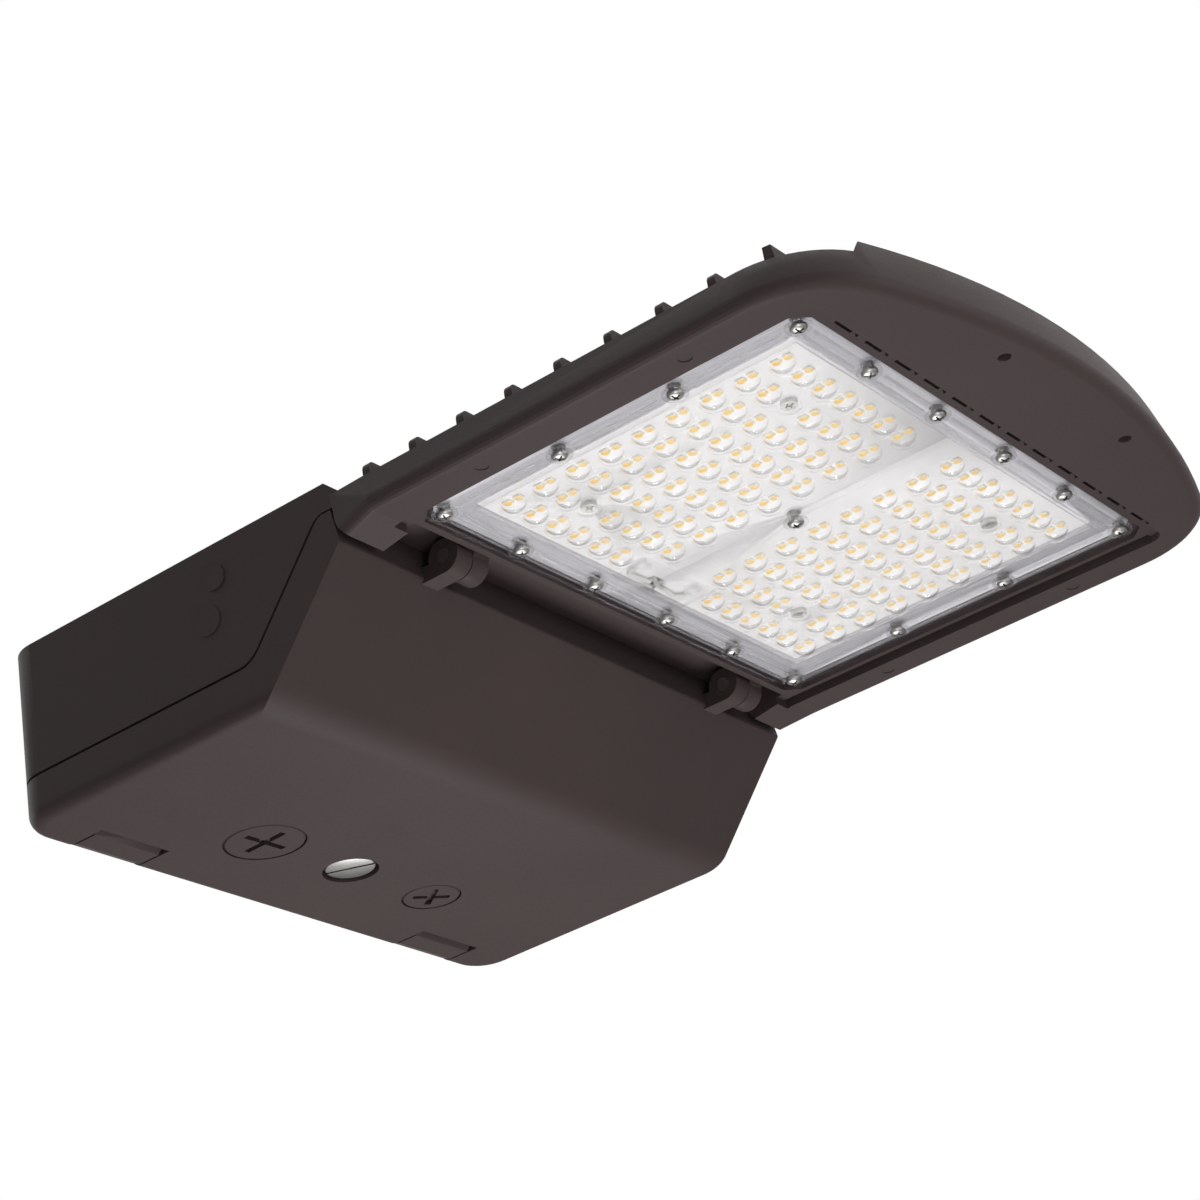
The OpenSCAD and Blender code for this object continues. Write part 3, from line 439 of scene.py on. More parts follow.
def plain_finish(name, colour, roughness, grain_mm, bump, metallic=0.0, spread=0.06):
    """A finish with a slight change of tone and a grain of the given size in millimetres, which
    is coarser than the real one where that is too fine to show."""
    material, tree = new_material(name)
    place = add_node(tree, "ShaderNodeTexCoord")
    grain = add_node(
        tree,
        "ShaderNodeTexNoise",
        values={"Scale": 1 / (grain_mm * MM), "Detail": 2.0},
        links={"Vector": place.outputs["Object"]},
    )
    tone = add_node(tree, "ShaderNodeValToRGB", links={"Fac": grain.outputs["Fac"]})
    dark, light = tone.color_ramp.elements
    dark.color, light.color = shade(colour, 1 - spread), shade(colour, 1 + spread)
    rough = add_node(
        tree,
        "ShaderNodeMapRange",
        values={"To Min": roughness * 0.85, "To Max": min(1, roughness * 1.15)},
        links={"Value": grain.outputs["Fac"]},
    )
    relief = add_node(
        tree,
        "ShaderNodeBump",
        values={"Strength": bump, "Distance": 0.1 * MM},
        links={"Height": grain.outputs["Fac"]},
    )
    shell = add_node(
        tree,
        "ShaderNodeBsdfPrincipled",
        values={"Metallic": metallic},
        links={
            "Base Color": tone.outputs["Color"],
            "Roughness": rough.outputs["Result"],
            "Normal": relief.outputs["Normal"],
        },
    )
    finish_surface(tree, shell.outputs["BSDF"])
    return material


def lead_insulation():
    """PVC insulation of the supply leads: black, white and green by their place across the box."""
    material, tree = new_material("PVC_Extruded_Insulation")
    place = add_node(tree, "ShaderNodeTexCoord")
    apart = add_node(tree, "ShaderNodeSeparateXYZ", links={"Vector": place.outputs["Object"]})
    low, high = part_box("ac_leads")
    share = add_node(
        tree,
        "ShaderNodeMapRange",
        values={"From Min": low[1], "From Max": high[1]},
        links={"Value": apart.outputs["Y"]},
    )
    tone = add_node(tree, "ShaderNodeValToRGB", links={"Fac": share.outputs["Result"]})
    tone.color_ramp.interpolation = "CONSTANT"
    black, white = tone.color_ramp.elements
    black.color = linear("#1B1B1C")
    white.position, white.color = 0.33, linear("#E9E7E2")
    tone.color_ramp.elements.new(0.66).color = linear("#2E7D3A")
    shell = add_node(
        tree,
        "ShaderNodeBsdfPrincipled",
        values={"Roughness": 0.42, "IOR": 1.5},
        links={"Base Color": tone.outputs["Color"]},
    )
    finish_surface(tree, shell.outputs["BSDF"])
    return material


# ---- Sizes and colours a user would change ----


class AREALIGHT_PG_finishes(bpy.types.PropertyGroup):
    """Colours of the materials, and the soft edges of the castings"""

    coat: bpy.props.StringProperty(
        name="Coat colour",
        description="Powder coat of the castings, as an sRGB hex value",
        default="#453A3A",
    )
    lens_tint: bpy.props.StringProperty(
        name="Lens tint",
        description="Colour of the clear lens plate",
        default="#FDFCFD",
    )
    board: bpy.props.StringProperty(
        name="Board colour",
        description="Solder mask of the LED boards",
        default="#F5F3F3",
    )
    phosphor: bpy.props.StringProperty(
        name="Phosphor colour",
        description="Silicone with phosphor on the LEDs",
        default="#FFD274",
    )
    door_round: bpy.props.FloatProperty(
        name="Door rounding",
        description="Radius of the edge between the door's flat and its slope",
        default=13.0 * MM,
        unit="LENGTH",
    )
    edge: bpy.props.FloatProperty(
        name="Casting edge",
        description="Width of the broken edges of the castings",
        default=0.5 * MM,
        unit="LENGTH",
    )


class AREALIGHT_PG_lens(bpy.types.PropertyGroup):
    """Ridges and screw bosses on the flange of the lens plate"""

    ridge_width: bpy.props.FloatProperty(
        name="Ridge width",
        description="Width of a ridge on the lens flange",
        default=1.1 * MM,
        unit="LENGTH",
    )
    ridge_height: bpy.props.FloatProperty(
        name="Ridge height",
        description="Height of a ridge on the lens flange",
        default=0.7 * MM,
        unit="LENGTH",
    )
    ridge_pitch: bpy.props.FloatProperty(
        name="Ridge spacing",
        description="Spacing of the two ridges",
        default=3.6 * MM,
        unit="LENGTH",
    )
    boss_radius: bpy.props.FloatProperty(
        name="Boss radius",
        description="Outer radius of the ring round a lens screw",
        default=4.2 * MM,
        unit="LENGTH",
    )
    boss_height: bpy.props.FloatProperty(
        name="Boss height",
        description="Height of the ring round a lens screw",
        default=1.1 * MM,
        unit="LENGTH",
    )


class AREALIGHT_PG_threads(bpy.types.PropertyGroup):
    """Threads and screw heads"""

    plug_pitch: bpy.props.FloatProperty(
        name="Plug pitch",
        description="Rise of a plug's thread in one turn",
        default=1.814 * MM,
        unit="LENGTH",
    )
    screw_pitch: bpy.props.FloatProperty(
        name="Door screw pitch",
        description="Rise of the door screw's thread in one turn",
        default=0.8 * MM,
        unit="LENGTH",
    )
    head_radius: bpy.props.FloatProperty(
        name="Lens screw head",
        description="Radius of the domed head of a lens screw",
        default=2.8 * MM,
        unit="LENGTH",
    )


# ---- Pieces ----


def door_round(radius):
    """The bar that rounds the door's edge between its flat and its slope: its section lies outside
    an arc of the given radius that touches both."""
    mesh = NODES["door"].data
    low = min(vert.co.z for vert in mesh.vertices)
    slopes = [
        face
        for face in mesh.polygons
        if face.normal.x > 0.5 and -0.9 < face.normal.z < -0.3 and abs(face.normal.y) < 0.01
    ]
    slope = max(slopes, key=lambda face: face.area)
    down, ahead = Vector((0, 0, -1)), slope.normal.copy()
    corner = Vector((slope.center.x - ahead.z * (low - slope.center.z) / ahead.x, 0, low))
    middle = corner - radius * (down + ahead) / (1 + down.dot(ahead))
    steps = 14
    spare, overhang = 2 * MM, 5 * MM
    section = [
        middle + radius * down.lerp(ahead, k / steps).normalized() for k in range(steps + 1)
    ]
    section += [
        section[-1] + ahead * spare,
        corner + (down + ahead) * spare,
        section[0] + down * spare,
    ]
    bm = bmesh.new()
    sides = []
    for y in (CAD_BOX[0][1] - overhang, CAD_BOX[1][1] + overhang):
        sides.append([bm.verts.new((point.x, y, point.z)) for point in section])
    bm.faces.new(sides[0])
    bm.faces.new(sides[1][::-1])
    for i in range(len(section)):
        j = (i + 1) % len(section)
        bm.faces.new((sides[0][i], sides[0][j], sides[1][j], sides[1][i]))
    return bm


class AREALIGHT_OT_castings(bpy.types.Operator):
    """Powder coat and broken edges of the housing, and the door with the round below its slope"""

    bl_idname = "arealight.castings"
    bl_label = "Castings"

    def execute(self, context):
        finishes = context.scene.arealight_finishes
        coat = powder_coat(finishes.coat)
        dress(coat, "housing")
        soften(finishes.edge, "housing")
        shell = bmesh.new()
        shell.from_mesh(NODES["door"].data)
        bmesh.ops.remove_doubles(shell, verts=shell.verts, dist=WELD_GAP)
        door = new_piece(
            "door_casting",
            carved(shell, door_round(finishes.door_round)),
            [coat],
            body="door",
            replaces="door",
        )
        soften(finishes.edge, door)
        even_normals(door)
        return {"FINISHED"}


def plug_body(low, high, slot_turn, pitch):
    """A plug: a head with broken edges and a crossed slot, and a hollow threaded part."""
    place = Matrix.Translation(((low[0] + high[0]) / 2, (low[1] + high[1]) / 2, low[2]))
    head = (high[0] - low[0]) / 2
    crest = (head + SEAT_GAP) * THREAD_SHARE
    arm = (head + SEAT_GAP) * CROSS_SHARE
    chamfer, thread_depth = 0.6 * MM, 0.9 * MM
    mouth, slot_depth = MM, 1.6 * MM
    bm = bmesh.new()
    lathe(
        bm,
        [
            (0, 0),
            (head - chamfer, 0),
            (head, chamfer),
            (head, PLUG_HEAD - chamfer),
            (head - chamfer, PLUG_HEAD),
            (0, PLUG_HEAD),
        ],
        place,
        sides=64,
    )
    slots = bmesh.new()
    turned = place @ Matrix.Rotation(math.radians(slot_turn), 4, "Z")
    prism(slots, cross(arm, CROSS_HALF), -mouth, slot_depth, turned)
    bm = carved(bm, slots)
    threaded(
        bm,
        place,
        PLUG_HEAD,
        high[2] - low[2],
        crest,
        thread_depth,
        pitch,
        bore=crest - PLUG_WALL,
        sides=48,
    )
    return bm


class AREALIGHT_OT_plugs(bpy.types.Operator):
    """The two threaded plugs in the door, each with a crossed slot in its head"""

    bl_idname = "arealight.plugs"
    bl_label = "Plugs"

    def execute(self, context):
        coat = bpy.data.materials[COAT]
        pitch = context.scene.arealight_threads.plug_pitch
        for name, slot_turn in PLUG_TURNS.items():
            low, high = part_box(name)
            bm = plug_body(low, high, slot_turn, pitch)
            new_piece(name + "_body", bm, [coat], body=name, replaces=name)
        return {"FINISHED"}


def screw_places():
    """Centres of the lens screws, found from their solids: the mean of each group of points."""
    reach = 6 * MM
    groups = []
    for vert in NODES["lens_screws"].data.vertices:
        x, y = vert.co.x, vert.co.y
        for group in groups:
            if math.hypot(group[0] / group[2] - x, group[1] / group[2] - y) < reach:
                group[0] += x
                group[1] += y
                group[2] += 1
                break
        else:
            groups.append([x, y, 1])
    return [(x / count, y / count) for x, y, count in groups]


def boss_profile(radius, height):
    """Section of the ring round a lens screw, as (radius, height) points below the lens face."""
    sunk = 0.1 * MM
    outer, crest, inner = radius - 0.25 * MM, radius - 0.6 * MM, radius - 1.0 * MM
    bore = radius - 1.2 * MM
    return [
        (radius, sunk),
        (radius, -0.5 * height),
        (outer, -0.85 * height),
        (crest, -height),
        (inner, -0.85 * height),
        (bore, -0.4 * height),
        (bore, sunk),
        (radius, sunk),
    ]


def ridge_pair(bm, start, end, across, sizes):
    """Two ridges side by side from start to end, apart along across."""
    for shift in (-0.5, 0.5):
        offset = across * shift * sizes.ridge_pitch
        bar(
            bm,
            start + offset,
            end + offset,
            sizes.ridge_width / 2,
            sizes.ridge_height,
            RIDGE_TAPER,
        )


def lens_bosses(places, face, sizes):
    """A low ring round each lens screw."""
    bm = bmesh.new()
    profile = boss_profile(sizes.boss_radius, sizes.boss_height)
    for x, y in places:
        lathe(bm, profile, Matrix.Translation((x, y, face)))
    return bm


def lens_ridges(places, face, sizes):
    """A pair of ridges between each two neighbouring screws round the lens flange."""
    bm = bmesh.new()
    gap = sizes.boss_radius + 1.2 * MM
    x_low, x_high = min(p[0] for p in places), max(p[0] for p in places)
    for x in (x_low, x_high):
        row = sorted(p[1] for p in places if abs(p[0] - x) < MM)
        for a, b in zip(row, row[1:]):
            start, end = Vector((x, a + gap, face)), Vector((x, b - gap, face))
            ridge_pair(bm, start, end, Vector((1, 0, 0)), sizes)
    clear_of_corner = 20 * MM
    between = [
        p for p in places if x_low + clear_of_corner < p[0] < x_high - clear_of_corner
    ]
    edge = max(abs(p[1]) for p in between)
    for side in (-1, 1):
        row = sorted(p[0] for p in between if p[1] * side > edge - 2 * MM)
        stops = [x_low] + row + [x_high]
        y = side * edge
        for a, b in zip(stops, stops[1:]):
            start, end = Vector((a + gap, y, face)), Vector((b - gap, y, face))
            ridge_pair(bm, start, end, Vector((0, side, 0)), sizes)
    return bm


class AREALIGHT_OT_lens(bpy.types.Operator):
    """Clear finish of the lens plate, with the ridges and the screw bosses of its flange"""

    bl_idname = "arealight.lens"
    bl_label = "Lens plate"

    def execute(self, context):
        sizes = context.scene.arealight_lens
        clear = clear_moulding(context.scene.arealight_finishes.lens_tint)
        dress(clear, "lens_plate")
        # Silicone, moulded, pale grey: matt and soft, with no highlight
        seal = plain_finish("Silicone_Moulded_PaleGrey", "#E7E5EA", 0.7, 2.0, 0.1)
        dress(seal, "lens_gasket")
        face = LENS_LOW[2] + DOME_HEIGHT
        places = screw_places()
        new_piece("lens_bosses", lens_bosses(places, face, sizes), [clear])
        new_piece("lens_ridges", lens_ridges(places, face, sizes), [clear])
        return {"FINISHED"}


def chip_places(node):
    """Centre and half side of each LED chip of a bank, found from its solids' lowest faces."""
    vertices = NODES[node].data.vertices
    low = min(v.co.z for v in vertices)
    near, narrowest, widest = 0.01 * MM, 1.0 * MM, 3.3 * MM
    corners = sorted(
        {(round(v.co.x, 6), round(v.co.y, 6)) for v in vertices if v.co.z < low + near}
    )
    chips = []
    used = set()
    for x, y in corners:
        if (x, y) in used:
            continue
        side = [
            c for c in corners if abs(c[1] - y) < near and narrowest < c[0] - x < widest
        ]
        up = [
            c for c in corners if abs(c[0] - x) < near and narrowest < c[1] - y < widest
        ]
        if side and up:
            w = side[0][0] - x
            chips.append((x + w / 2, y + w / 2, low, w / 2))
            used.update({(x, y), side[0], up[0], (side[0][0], up[0][1])})
    return chips


def board_laminate(node, side):
    """A board carried on to where it nearly meets the other in the middle."""
    half_joint = 0.04 * MM
    bm = bmesh.new()
    bm.from_mesh(NODES[node].data)
    bmesh.ops.remove_doubles(bm, verts=bm.verts, dist=WELD_GAP)
    for vert in bm.verts:
        if abs(vert.co.y) < BOARD_GAP:
            vert.co.y = side * half_joint
    return bm


def phosphor_dots(node):
    """A low round of phosphor on each LED chip of a bank."""
    bm = bmesh.new()
    for x, y, z, r in chip_places(node):
        lathe(
            bm,
            [(r, 0.02 * MM), (r, -0.03 * MM), (r * 0.7, -0.11 * MM), (0, -0.14 * MM)],
            Matrix.Translation((x, y, z)),
            sides=16,
        )
    return bm


class AREALIGHT_OT_boards(bpy.types.Operator):
    """White boards, LED packages and the phosphor in each package"""

    bl_idname = "arealight.boards"
    bl_label = "LED boards"

    def execute(self, context):
        finishes = context.scene.arealight_finishes
        # Solder mask, cured, white: an even satin white, almost without grain
        mask = plain_finish(
            "SolderMask_Cured_White", finishes.board, 0.45, 6.0, 0.03, spread=0.02
        )
        # Epoxy moulding of the LED packages: a warm white rim round each phosphor
        package = plain_finish(
            "EpoxyMoulding_LedPackage_White", "#F6F1E4", 0.4, 1.0, 0.03, spread=0.02
        )
        # Silicone with phosphor, cast: amber, with a slight gloss
        phosphor = plain_finish(
            "SiliconePhosphor_Cast_Amber", finishes.phosphor, 0.35, 0.6, 0.05, spread=0.08
        )
        for name, side in (("led_board_left", -1), ("led_board_right", 1)):
            bm = board_laminate(name, side)
            new_piece(name + "_laminate", bm, [mask], replaces=name)
        dress(package, "led_chips_left", "led_chips_right")
        for side in ("left", "right"):
            bm = phosphor_dots("led_chips_" + side)
            new_piece("led_phosphor_" + side, bm, [phosphor])
        return {"FINISHED"}


def slotted(bm, low, depth, inside):
    """Gives the faces inside a slot, from just above its mouth at low to its floor, the second
    material: the dark steel that paints the slot's shade."""
    margin = 0.05 * MM
    for face in bm.faces:
        middle = face.calc_center_median()
        if low + margin < middle.z < low + depth + margin and inside(middle):
            face.material_index = 1


def door_screw(low, high, pitch):
    """The captive screw: a slotted head with a rounded edge, and a threaded shank."""
    place = Matrix.Translation(((low[0] + high[0]) / 2, (low[1] + high[1]) / 2, low[2]))
    radius = (high[0] - low[0]) / 2
    slot_half, slot_depth, overhang = 0.55 * MM, 1.1 * MM, MM
    thread_depth = 0.45 * MM
    bm = bmesh.new()
    lathe(
        bm,
        [
            (0, 0),
            (radius - 0.5 * MM, 0),
            (radius - 0.15 * MM, 0.15 * MM),
            (radius, 0.5 * MM),
            (radius, SCREW_HEAD - 0.2 * MM),
            (radius - 0.2 * MM, SCREW_HEAD),
            (0, SCREW_HEAD),
        ],
        place,
        sides=64,
    )
    mouth = bmesh.new()
    turned = place @ Matrix.Rotation(math.radians(SCREW_TURN), 4, "Z")
    prism(mouth, oblong(radius + overhang, slot_half), -overhang, slot_depth, turned)
    bm = carved(bm, mouth)
    back = turned.inverted()
    inside = slot_half + 0.02 * MM
    # The slot's faces take the dark steel of painted shade
    slotted(bm, low[2], slot_depth, lambda point: abs((back @ point).y) < inside)
    threaded(bm, place, SCREW_HEAD, high[2] - low[2], SCREW_RADIUS, thread_depth, pitch)
    return bm


def lens_screws(places, face, top, radius):
    """Domed screws with a crossed recess, standing down from the lens face, shanks up to top."""
    height = 1.7 * MM
    arm, arm_half = 0.62 * radius, 0.33 * MM
    profile = [
        (0, -height),
        (0.45 * radius, -0.95 * height),
        (0.75 * radius, -0.78 * height),
        (0.94 * radius, -0.48 * height),
        (radius, -0.15 * height),
        (radius, 0),
        (SHANK_RADIUS, 0),
        (SHANK_RADIUS, top - face),
        (0, top - face),
    ]
    bm = bmesh.new()
    recesses = bmesh.new()
    for x, y in places:
        place = Matrix.Translation((x, y, face))
        lathe(bm, profile, place, sides=24)
        # Each screw stands at a turn of its own, which follows from its place
        turned = place @ Matrix.Rotation(x * y / MM, 4, "Z")
        prism(recesses, cross(arm, arm_half), -height - MM, -0.35 * height, turned)
    bm = carved(bm, recesses)
    # The faces inside each crossed recess take the dark steel of painted shade
    for item in bm.faces:
        middle = item.calc_center_median()
        if abs(item.normal.z) > 0.3 or middle.z > face - 0.3 * height:
            continue
        if min(math.hypot(middle.x - x, middle.y - y) for x, y in places) < arm:
            item.material_index = 1
    return bm


class AREALIGHT_OT_fasteners(bpy.types.Operator):
    """Door screw, lens screws, the smaller screws, hinge pins and rubber seals"""

    bl_idname = "arealight.fasteners"
    bl_label = "Fasteners and seals"

    def execute(self, context):
        sizes = context.scene.arealight_threads
        # Stainless steel, cold headed: a satin metal with soft highlights
        steel = plain_finish(STEEL, "#BDBBB8", 0.38, 0.5, 0.08, metallic=1.0)
        # Painted shade: the same steel, dark and dull, on the faces inside slots and recesses
        slot = plain_finish(
            "StainlessSteel_Milled_Dull", "#4A4642", 0.6, 0.3, 0.1, metallic=1.0
        )
        # Silicone rubber, extruded, black: dark and matt
        rubber = plain_finish("SiliconeRubber_Extruded_Black", "#1A1A1A", 0.75, 1.2, 0.15)
        # Zinc plated steel, dyed green as ground screws are: a tinted metal sheen
        green = plain_finish(
            "ZincPlatedSteel_Dyed_Green", "#2F7A3B", 0.35, 0.8, 0.05, metallic=0.8
        )
        dress(steel, "screw_retainer", "hinge_pins", "board_screws", "driver_screws")
        dress(rubber, "door_gasket", "large_plug_seal", "small_plug_seal", "lead_grommet")
        dress(green, "ground_screw")

        low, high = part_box("captive_screw")
        new_piece(
            "door_screw_body",
            door_screw(low, high, sizes.screw_pitch),
            [steel, slot],
            body="door_screw",
            replaces="captive_screw",
        )
        face = LENS_LOW[2] + DOME_HEIGHT
        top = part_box("lens_screws")[1][2]
        new_piece(
            "lens_screw_set",
            lens_screws(screw_places(), face, top, sizes.head_radius),
            [steel, slot],
            replaces="lens_screws",
        )
        return {"FINISHED"}


def driver_lid(place, half_x, half_y, height):
    """The lid of the driver's case, standing down from it by height."""
    inset, sunk = 1.5 * MM, 0.2 * MM
    bm = bmesh.new()
    prism(bm, oblong(half_x - inset, half_y - inset), -height, sunk, place)
    return bm


def lid_screws(place, half_x, half_y, height):
    """A domed screw near each corner of the driver's lid."""
    inset = 5 * MM
    crown = [(0, -0.9 * MM), (1.3 * MM, -0.75 * MM)]
    head = crown + [(2.2 * MM, -0.2 * MM), (2.2 * MM, 0), (0, 0)]
    bm = bmesh.new()
    for x in (-1, 1):
        for y in (-1, 1):
            corner = (x * (half_x - inset), y * (half_y - inset), -height)
            lathe(bm, head, place @ Matrix.Translation(corner))
    return bm


def pole_places():
    """Middle of each of the terminal block's three poles, across the box."""
    pitch = (BLOCK_HIGH.y - BLOCK_LOW.y) / 3
    return [BLOCK_LOW.y + pitch * (i + 0.5) for i in range(3)]


def clamp_screws():
    """The slotted screw of each pole of the terminal block, each at a turn of its own."""
    clamp = [(0, 0), (1.7 * MM, 0), (1.8 * MM, 0.15 * MM), (1.8 * MM, 2 * MM), (0, 2 * MM)]
    sunk = 0.8 * MM
    x = (BLOCK_LOW.x + BLOCK_HIGH.x) / 2
    screws, slots = bmesh.new(), bmesh.new()
    for i, y in enumerate(pole_places()):
        spot = Matrix.Translation((x, y, BLOCK_LOW.z + sunk))
        lathe(screws, clamp, spot)
        turned = spot @ Matrix.Rotation(math.radians(35 + 50 * i), 4, "Z")
        prism(slots, oblong(2.2 * MM, 0.3 * MM), -MM, 0.8 * MM, turned)
    return carved(screws, slots)


def lead_bushings():
    """The bushing round each supply lead at the end of the driver."""
    low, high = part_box("ac_leads")
    radius = (high[2] - low[2]) / 2
    bushing = [
        (radius, 0),
        (2.6 * MM, 0),
        (2.6 * MM, 1.2 * MM),
        (2.1 * MM, 1.5 * MM),
        (1.9 * MM, 4.5 * MM),
        (radius, 4.7 * MM),
        (radius, 0),
    ]
    bm = bmesh.new()
    for y in pole_places():
        entry = Matrix.Translation((DRIVER_LOW.x, y, low[2] + radius))
        lathe(bm, bushing, entry @ Matrix.Rotation(-math.pi / 2, 4, "Y"), sides=24)
    return bm


class AREALIGHT_OT_electrics(bpy.types.Operator):
    """Driver, surge protector, terminal block and leads"""

    bl_idname = "arealight.electrics"
    bl_label = "Driver and wiring"

    def execute(self, context):
        steel = bpy.data.materials[STEEL]
        # Aluminium, painted pale grey: a smooth satin case
        case = plain_finish("Aluminium_Painted_PaleGrey", "#B9BCBE", 0.45, 1.5, 0.06)
        # ABS, moulded, black: a dark plastic with a fine moulded grain
        black = plain_finish("ABS_Moulded_Black", "#26292B", 0.5, 0.9, 0.12)
        # Polyamide, moulded, ivory: a warm plastic, nearly matt
        pale = plain_finish("Polyamide_Moulded_Ivory", "#E3DECF", 0.5, 1.2, 0.08)
        # PVC, extruded, white: the smooth insulation of the DC leads
        white = plain_finish("PVC_Extruded_White", "#E4E4E0", 0.42, 1.0, 0.05)
        dress(case, "driver")
        dress(black, "surge_protector")
        dress(pale, "terminal_block")
        dress(lead_insulation(), "ac_leads")
        dress(white, "dc_leads")
        soften(0.8 * MM, "driver", "surge_protector")
        soften(0.3 * MM, "terminal_block")

        middle = (DRIVER_LOW + DRIVER_HIGH) / 2
        half_x = (DRIVER_HIGH.x - DRIVER_LOW.x) / 2
        half_y = (DRIVER_HIGH.y - DRIVER_LOW.y) / 2 - DRIVER_TAB
        place = Matrix.Translation((middle.x, middle.y, DRIVER_LOW.z))
        lid_height = 0.6 * MM
        bm = driver_lid(place, half_x, half_y, lid_height)
        lid = new_piece("driver_lid", bm, [case])
        soften(0.25 * MM, lid)
        bm = lid_screws(place, half_x, half_y, lid_height)
        new_piece("driver_lid_screws", bm, [steel])
        new_piece("terminal_screws", clamp_screws(), [steel])
        new_piece("driver_bushings", lead_bushings(), [black])
        return {"FINISHED"}


# ---- Stage ----


def seamless_paper():
    """Seamless paper, white, matt: a floor that stays pale, with a cloud of tone of about 48 mm
    too faint to draw the eye."""
    material, tree = new_material("Paper_Seamless_White")
    # Unlinked, the noise reads the sheet from 0 to 1, so its scale is the sheet's size over the
    # grain's
    grain = add_node(tree, "ShaderNodeTexNoise", values={"Scale": FLOOR_SIZE / (48 * MM)})
    tone = add_node(tree, "ShaderNodeValToRGB", links={"Fac": grain.outputs["Fac"]})
    dark, light = tone.color_ramp.elements
    dark.color, light.color = linear("#F1F1F0"), linear("#F7F7F6")
    paper = add_node(
        tree,
        "ShaderNodeBsdfPrincipled",
        values={"Roughness": 0.9},
        links={"Base Color": tone.outputs["Color"]},
    )
    # The camera sees most of the sheet at its own white, so that it stays pale and keeps a
    # soft shadow
    sheet = add_node(
        tree, "ShaderNodeEmission", values={"Color": linear("#F4F4F3"), "Strength": 1.0}
    )
    ray = add_node(tree, "ShaderNodeLightPath")
    seen = add_node(
        tree,
        "ShaderNodeMath",
        operation="MULTIPLY",
        values={1: 0.78},
        links={0: ray.outputs["Is Camera Ray"]},
    )
    pale = add_node(
        tree,
        "ShaderNodeMixShader",
        links={
            0: seen.outputs["Value"],
            1: paper.outputs["BSDF"],
            2: sheet.outputs["Emission"],
        },
    )
    finish_surface(tree, pale.outputs["Shader"])
    return material


def lay_floor(scene):
    """One large sheet of paper below the light."""
    bm = bmesh.new()
    for x, y in oblong(FLOOR_SIZE / 2, FLOOR_SIZE / 2):
        bm.verts.new((x, y, CAD_BOX[0][2] - FLOOR_DROP))
    bm.faces.new(bm.verts)
    mesh = bpy.data.meshes.new("floor")
    bm.to_mesh(mesh)
    bm.free()
    floor = bpy.data.objects.new("floor", mesh)
    mesh.materials.append(seamless_paper())
    scene.collection.objects.link(floor)


def surround(scene):
    """White for the camera and in gloss and clear parts, and a weak even light on the rest."""
    world = bpy.data.worlds.new("Surround")
    scene.world = world
    world.use_nodes = True
    tree = world.node_tree
    tree.nodes.clear()
    ray = add_node(tree, "ShaderNodeLightPath")
    seen = add_node(
        tree,
        "ShaderNodeMath",
        operation="MAXIMUM",
        links={0: ray.outputs["Is Camera Ray"], 1: ray.outputs["Is Transmission Ray"]},
    )
    shown = add_node(
        tree,
        "ShaderNodeMath",
        operation="MAXIMUM",
        links={0: seen.outputs["Value"], 1: ray.outputs["Is Glossy Ray"]},
    )
    light = add_node(
        tree, "ShaderNodeBackground", values={"Color": linear("#F6F8FA"), "Strength": 0.11}
    )
    white = add_node(
        tree, "ShaderNodeBackground", values={"Color": (1, 1, 1, 1), "Strength": 1.0}
    )
    mix = add_node(
        tree,
        "ShaderNodeMixShader",
        links={
            0: shown.outputs["Value"],
            1: light.outputs["Background"],
            2: white.outputs["Background"],
        },
    )
    add_node(tree, "ShaderNodeOutputWorld", links={"Surface": mix.outputs["Shader"]})


def hang_lamps(scene):
    """Soft round lamps that all point at the middle of the light: place, size and power."""
    aim = Vector((0.17, 0, 0))
    for name, place, size, power in (
        ("key", (-0.04, 0.22, -0.66), 0.5, 3.5),
        ("front", (0.67, 0.0, 0.0), 0.4, 0.7),
        ("near", (0.46, -0.30, -0.34), 0.25, 0.6),
        ("rear", (-0.9, -0.1, 0.1), 0.5, 1.5),
        ("top", (0.1, 0.2, 1.4), 1.2, 10.0),
    ):
        lamp = bpy.data.lights.new(name, "AREA")
        lamp.shape = "DISK"
        lamp.size = size
        lamp.energy = power
        holder = bpy.data.objects.new(name, lamp)
        holder.location = place
        holder.rotation_euler = (aim - Vector(place)).to_track_quat("-Z", "Y").to_euler()
        scene.collection.objects.link(holder)


def set_camera(scene):
    """The camera at the photograph's viewing angle."""
    camera = bpy.data.cameras.new("camera")
    camera.lens = 91.2
    camera.sensor_width = 36.0
    camera.clip_start = 0.01
    camera.clip_end = 50
    holder = bpy.data.objects.new("camera", camera)
    # Place and directions of the camera, fitted to the photograph
    eye = Vector((0.6603, -0.7605, -0.4518))
    right = Vector((0.78277, 0.60433, -0.14853))
    up = Vector((0.38616, -0.28452, 0.87746))
    back = Vector((0.48801, -0.74420, -0.45608))
    turn = Matrix((right, up, back)).transposed().to_4x4()
    holder.matrix_world = Matrix.Translation(eye) @ turn
    scene.collection.objects.link(holder)
    scene.camera = holder


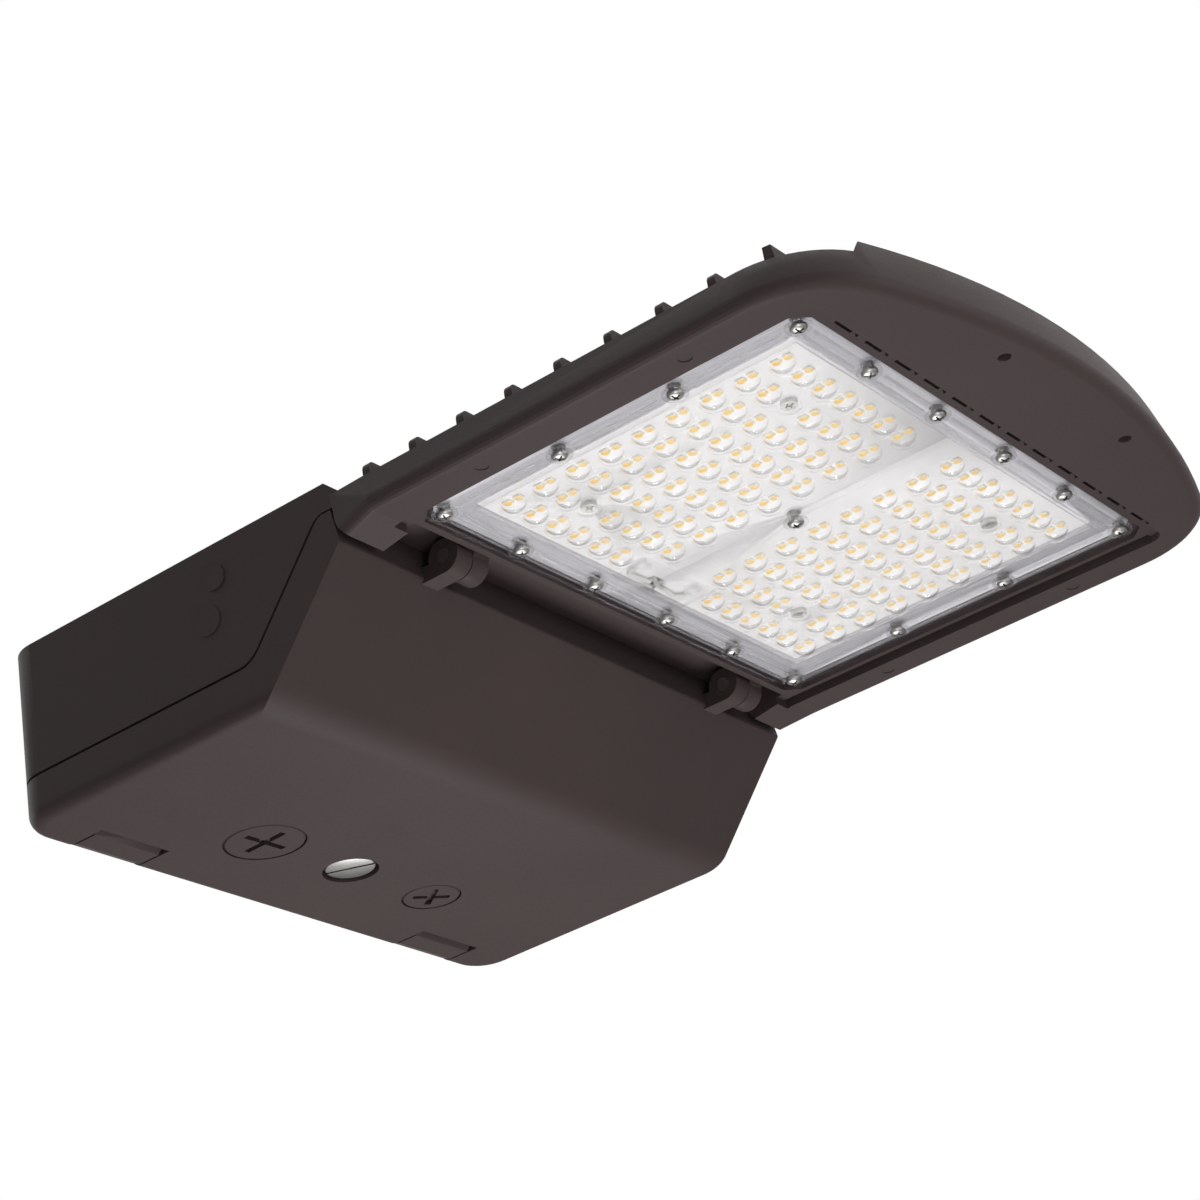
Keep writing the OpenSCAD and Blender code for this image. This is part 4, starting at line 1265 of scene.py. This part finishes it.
class AREALIGHT_OT_stage(bpy.types.Operator):
    """Pale floor, white surround, soft lamps and the camera"""

    bl_idname = "arealight.stage"
    bl_label = "Stage"

    def execute(self, context):
        scene = context.scene
        scene.view_settings.view_transform = "Standard"
        lay_floor(scene)
        surround(scene)
        hang_lamps(scene)
        set_camera(scene)
        return {"FINISHED"}


class AREALIGHT_PT_panel(bpy.types.Panel):
    """Lists the sizes and colours that can be changed, and the steps that build the light"""

    bl_idname = "AREALIGHT_PT_panel"
    bl_label = "Area Light"
    bl_space_type = "VIEW_3D"
    bl_region_type = "UI"
    bl_category = "Area Light"

    def draw(self, context):
        layout = self.layout
        scene = context.scene
        for group in (scene.arealight_finishes, scene.arealight_lens, scene.arealight_threads):
            box = layout.box()
            for name in group.__annotations__:
                box.prop(group, name)
        for operator in OPERATORS:
            layout.operator(operator.bl_idname)


OPERATORS = (
    AREALIGHT_OT_stage,
    AREALIGHT_OT_castings,
    AREALIGHT_OT_plugs,
    AREALIGHT_OT_lens,
    AREALIGHT_OT_boards,
    AREALIGHT_OT_fasteners,
    AREALIGHT_OT_electrics,
)
GROUPS = (AREALIGHT_PG_finishes, AREALIGHT_PG_lens, AREALIGHT_PG_threads)
CLASSES = GROUPS + OPERATORS + (AREALIGHT_PT_panel,)


def register():
    """Adds the classes, and the groups of sizes and colours to the scene."""
    for item in CLASSES:
        bpy.utils.register_class(item)
    bpy.types.Scene.arealight_finishes = bpy.props.PointerProperty(type=AREALIGHT_PG_finishes)
    bpy.types.Scene.arealight_lens = bpy.props.PointerProperty(type=AREALIGHT_PG_lens)
    bpy.types.Scene.arealight_threads = bpy.props.PointerProperty(type=AREALIGHT_PG_threads)


def unregister():
    """Takes away what register added."""
    del bpy.types.Scene.arealight_threads
    del bpy.types.Scene.arealight_lens
    del bpy.types.Scene.arealight_finishes
    for item in reversed(CLASSES):
        bpy.utils.unregister_class(item)


def main():
    """Builds the stage and every piece."""
    register()
    bpy.ops.arealight.stage()
    bpy.ops.arealight.castings()
    bpy.ops.arealight.plugs()
    bpy.ops.arealight.lens()
    bpy.ops.arealight.boards()
    bpy.ops.arealight.fasteners()
    bpy.ops.arealight.electrics()


if __name__ == "__main__":
    main()
